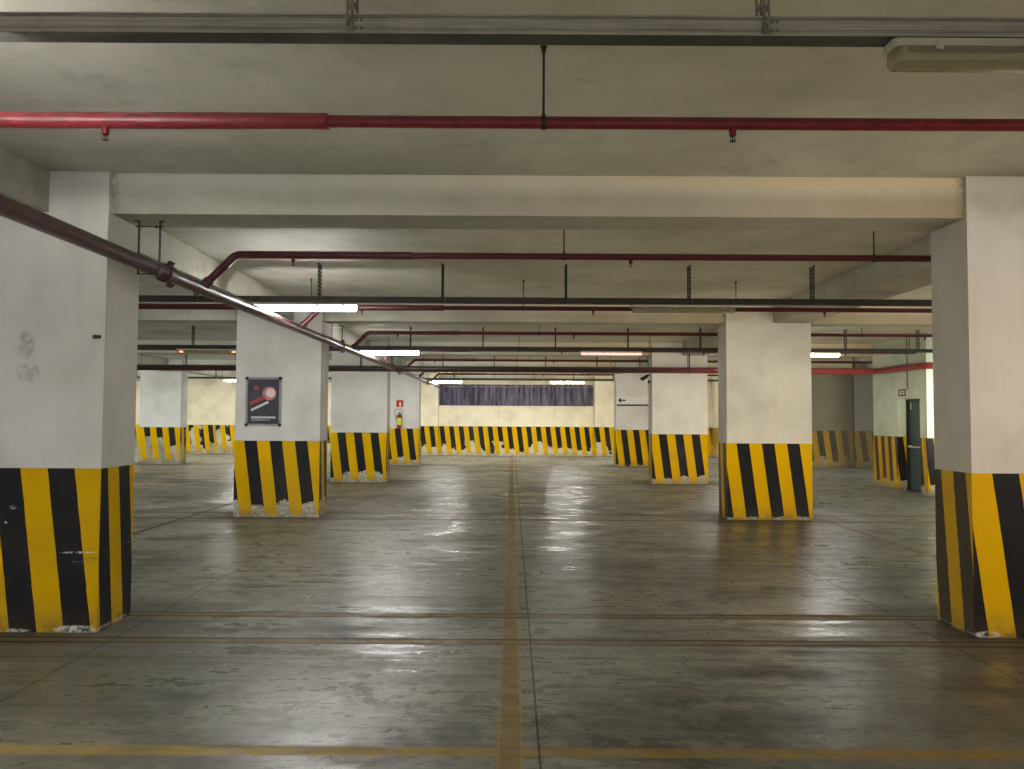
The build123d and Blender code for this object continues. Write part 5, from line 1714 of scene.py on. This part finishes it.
WIDTH, DEPTH = OUTER_X * 2, OUTER_Y * 2
NEUTRAL, WARM, ROSE, AMBER = (0.97, 1.0, 0.98), (1.0, 0.90, 0.66), (1.0, 0.80, 0.62), (1.0, 0.83, 0.50)
UP, DOWN, INTO_DEPTH, TO_RIGHT = (0, 0, 1), (0, 0, -1), (0, 1, 0), (1, 0, 0)
BAYS = [(ROWS[index] + ROWS[index + 1]) / 2 for index in range(len(ROWS) - 1)]

# %% Sheets of soft light on floor and ceiling
LEFT_SHEET, RIGHT_SHEET = (-WIDTH / 5, WIDTH * 0.6), (WIDTH * 0.3, WIDTH * 0.4)
for name, (x, width), z, power, way, tint in (
        ("floor_bounce_left", LEFT_SHEET, FLOOR + 0.02, 272, UP, NEUTRAL),
        ("floor_bounce_right", RIGHT_SHEET, FLOOR + 0.02, 372, UP, AMBER),
        ("ceiling_bounce_left", LEFT_SHEET, SOFFIT - 0.02, 130, DOWN, NEUTRAL),
        ("ceiling_bounce_right", RIGHT_SHEET, SOFFIT - 0.02, 52, DOWN, NEUTRAL)):
    soft_lamp(name, (x, 0, z), (width, DEPTH), power, way, tint)

# %% A wide lamp in each bay, left and right of the lane
STRIP_LEVEL, STRIP_HEIGHT, STRIP_SPREAD = 1.7, 1.6, 100
STRIP_POWERS = ((14, 64), (58, 53), (58, 40), (100, 5), (38, 3))
LEFT_EDGE, AISLE_EDGE = -WIDTH / 2, 5.4
RIGHT_EDGES = (WIDTH / 2, WIDTH / 2, WIDTH / 2, 10.0, 10.0)
for index, (power_left, power_right) in enumerate(STRIP_POWERS):
    right_edge = RIGHT_EDGES[index]
    soft_lamp(f"strip_left_{index}", ((LEFT_EDGE + AISLE_EDGE) / 2, BAYS[index], FLOOR + STRIP_LEVEL),
              (AISLE_EDGE - LEFT_EDGE, STRIP_HEIGHT), power_left, INTO_DEPTH, NEUTRAL, STRIP_SPREAD)
    soft_lamp(f"strip_right_{index}", ((AISLE_EDGE + right_edge) / 2, BAYS[index], FLOOR + STRIP_LEVEL),
              (right_edge - AISLE_EDGE, STRIP_HEIGHT), power_right, INTO_DEPTH, WARM if index else ROSE,
              STRIP_SPREAD)

# %% Lamps for single places
core_low, core_high = corners_of("core_front_wall")
soft_lamp("core_front_glow", ((core_low.x + core_high.x) / 2, core_low.y - 0.9, FLOOR + STRIP_LEVEL),
          (core_high.x - core_low.x, 2.4), 45, INTO_DEPTH, NEUTRAL, STRIP_SPREAD)
soft_lamp("second_bay_glow", (10.6, BAYS[1], FLOOR + 2.3), (1.3, 0.3), 26, UP, NEUTRAL, 150)
soft_lamp("beam_wash", (0, ROWS[1] - 2.0, FLOOR + 3.15), (WIDTH, 0.25), 17, INTO_DEPTH, NEUTRAL, 60)
side_low, side_high = corners_of("store_side_wall")
soft_lamp("store_side_glow", (side_low.x - 2.0, (side_low.y + side_high.y) / 2, FLOOR + STRIP_LEVEL),
          (5.0, 2.4), 30, TO_RIGHT, NEUTRAL, 110)
for index, power in ((3, 260), (4, 900)):
    soft_lamp(f"floor_wash_{index}", (0, BAYS[index], SOFFIT - 0.02), (WIDTH, ROW_PITCH), power, DOWN,
              NEUTRAL, 120)
print(len(bpy.data.lights), "lamps")

# %% Pale surroundings
world = bpy.data.worlds.new("pale_room")
bpy.context.scene.world = world
world.use_nodes = True
background = Inputs(world.node_tree.nodes["Background"])
ray = outputs(world.node_tree.nodes.new("ShaderNodeLightPath"))
seen = largest(ray["Is Camera Ray"], ray["Is Glossy Ray"], ray["Is Transmission Ray"])
background["Color"] = blend(seen, (0.72, 0.74, 0.76, 1.0), (0.92, 0.92, 0.91, 1.0))

# %% [markdown]
# ## Light paths
# Lamps stand in every bay, so light that has already met two matt faces adds next to nothing,
# and the paths are cut there, mirrored ones after the first. The lamps light the room, so the
# thousand small faces of the glowing covers needn't be tried as lights, and a lamp isn't
# searched for twice.

# %% Light paths
paths = bpy.context.scene.cycles
paths.max_bounces, paths.diffuse_bounces, paths.glossy_bounces = 6, 2, 1
print("light paths", paths.max_bounces, paths.diffuse_bounces, paths.glossy_bounces)

# %% Ground outside
nothing_selected()
bpy.ops.mesh.primitive_plane_add(size=500, location=(0, 0, -0.001))
ground = bpy.context.object
ground.name = "studio_floor"
made, shader, spot = material("studio_floor", srgb(226, 225, 220), 0.8)
ground.data.materials.append(made)
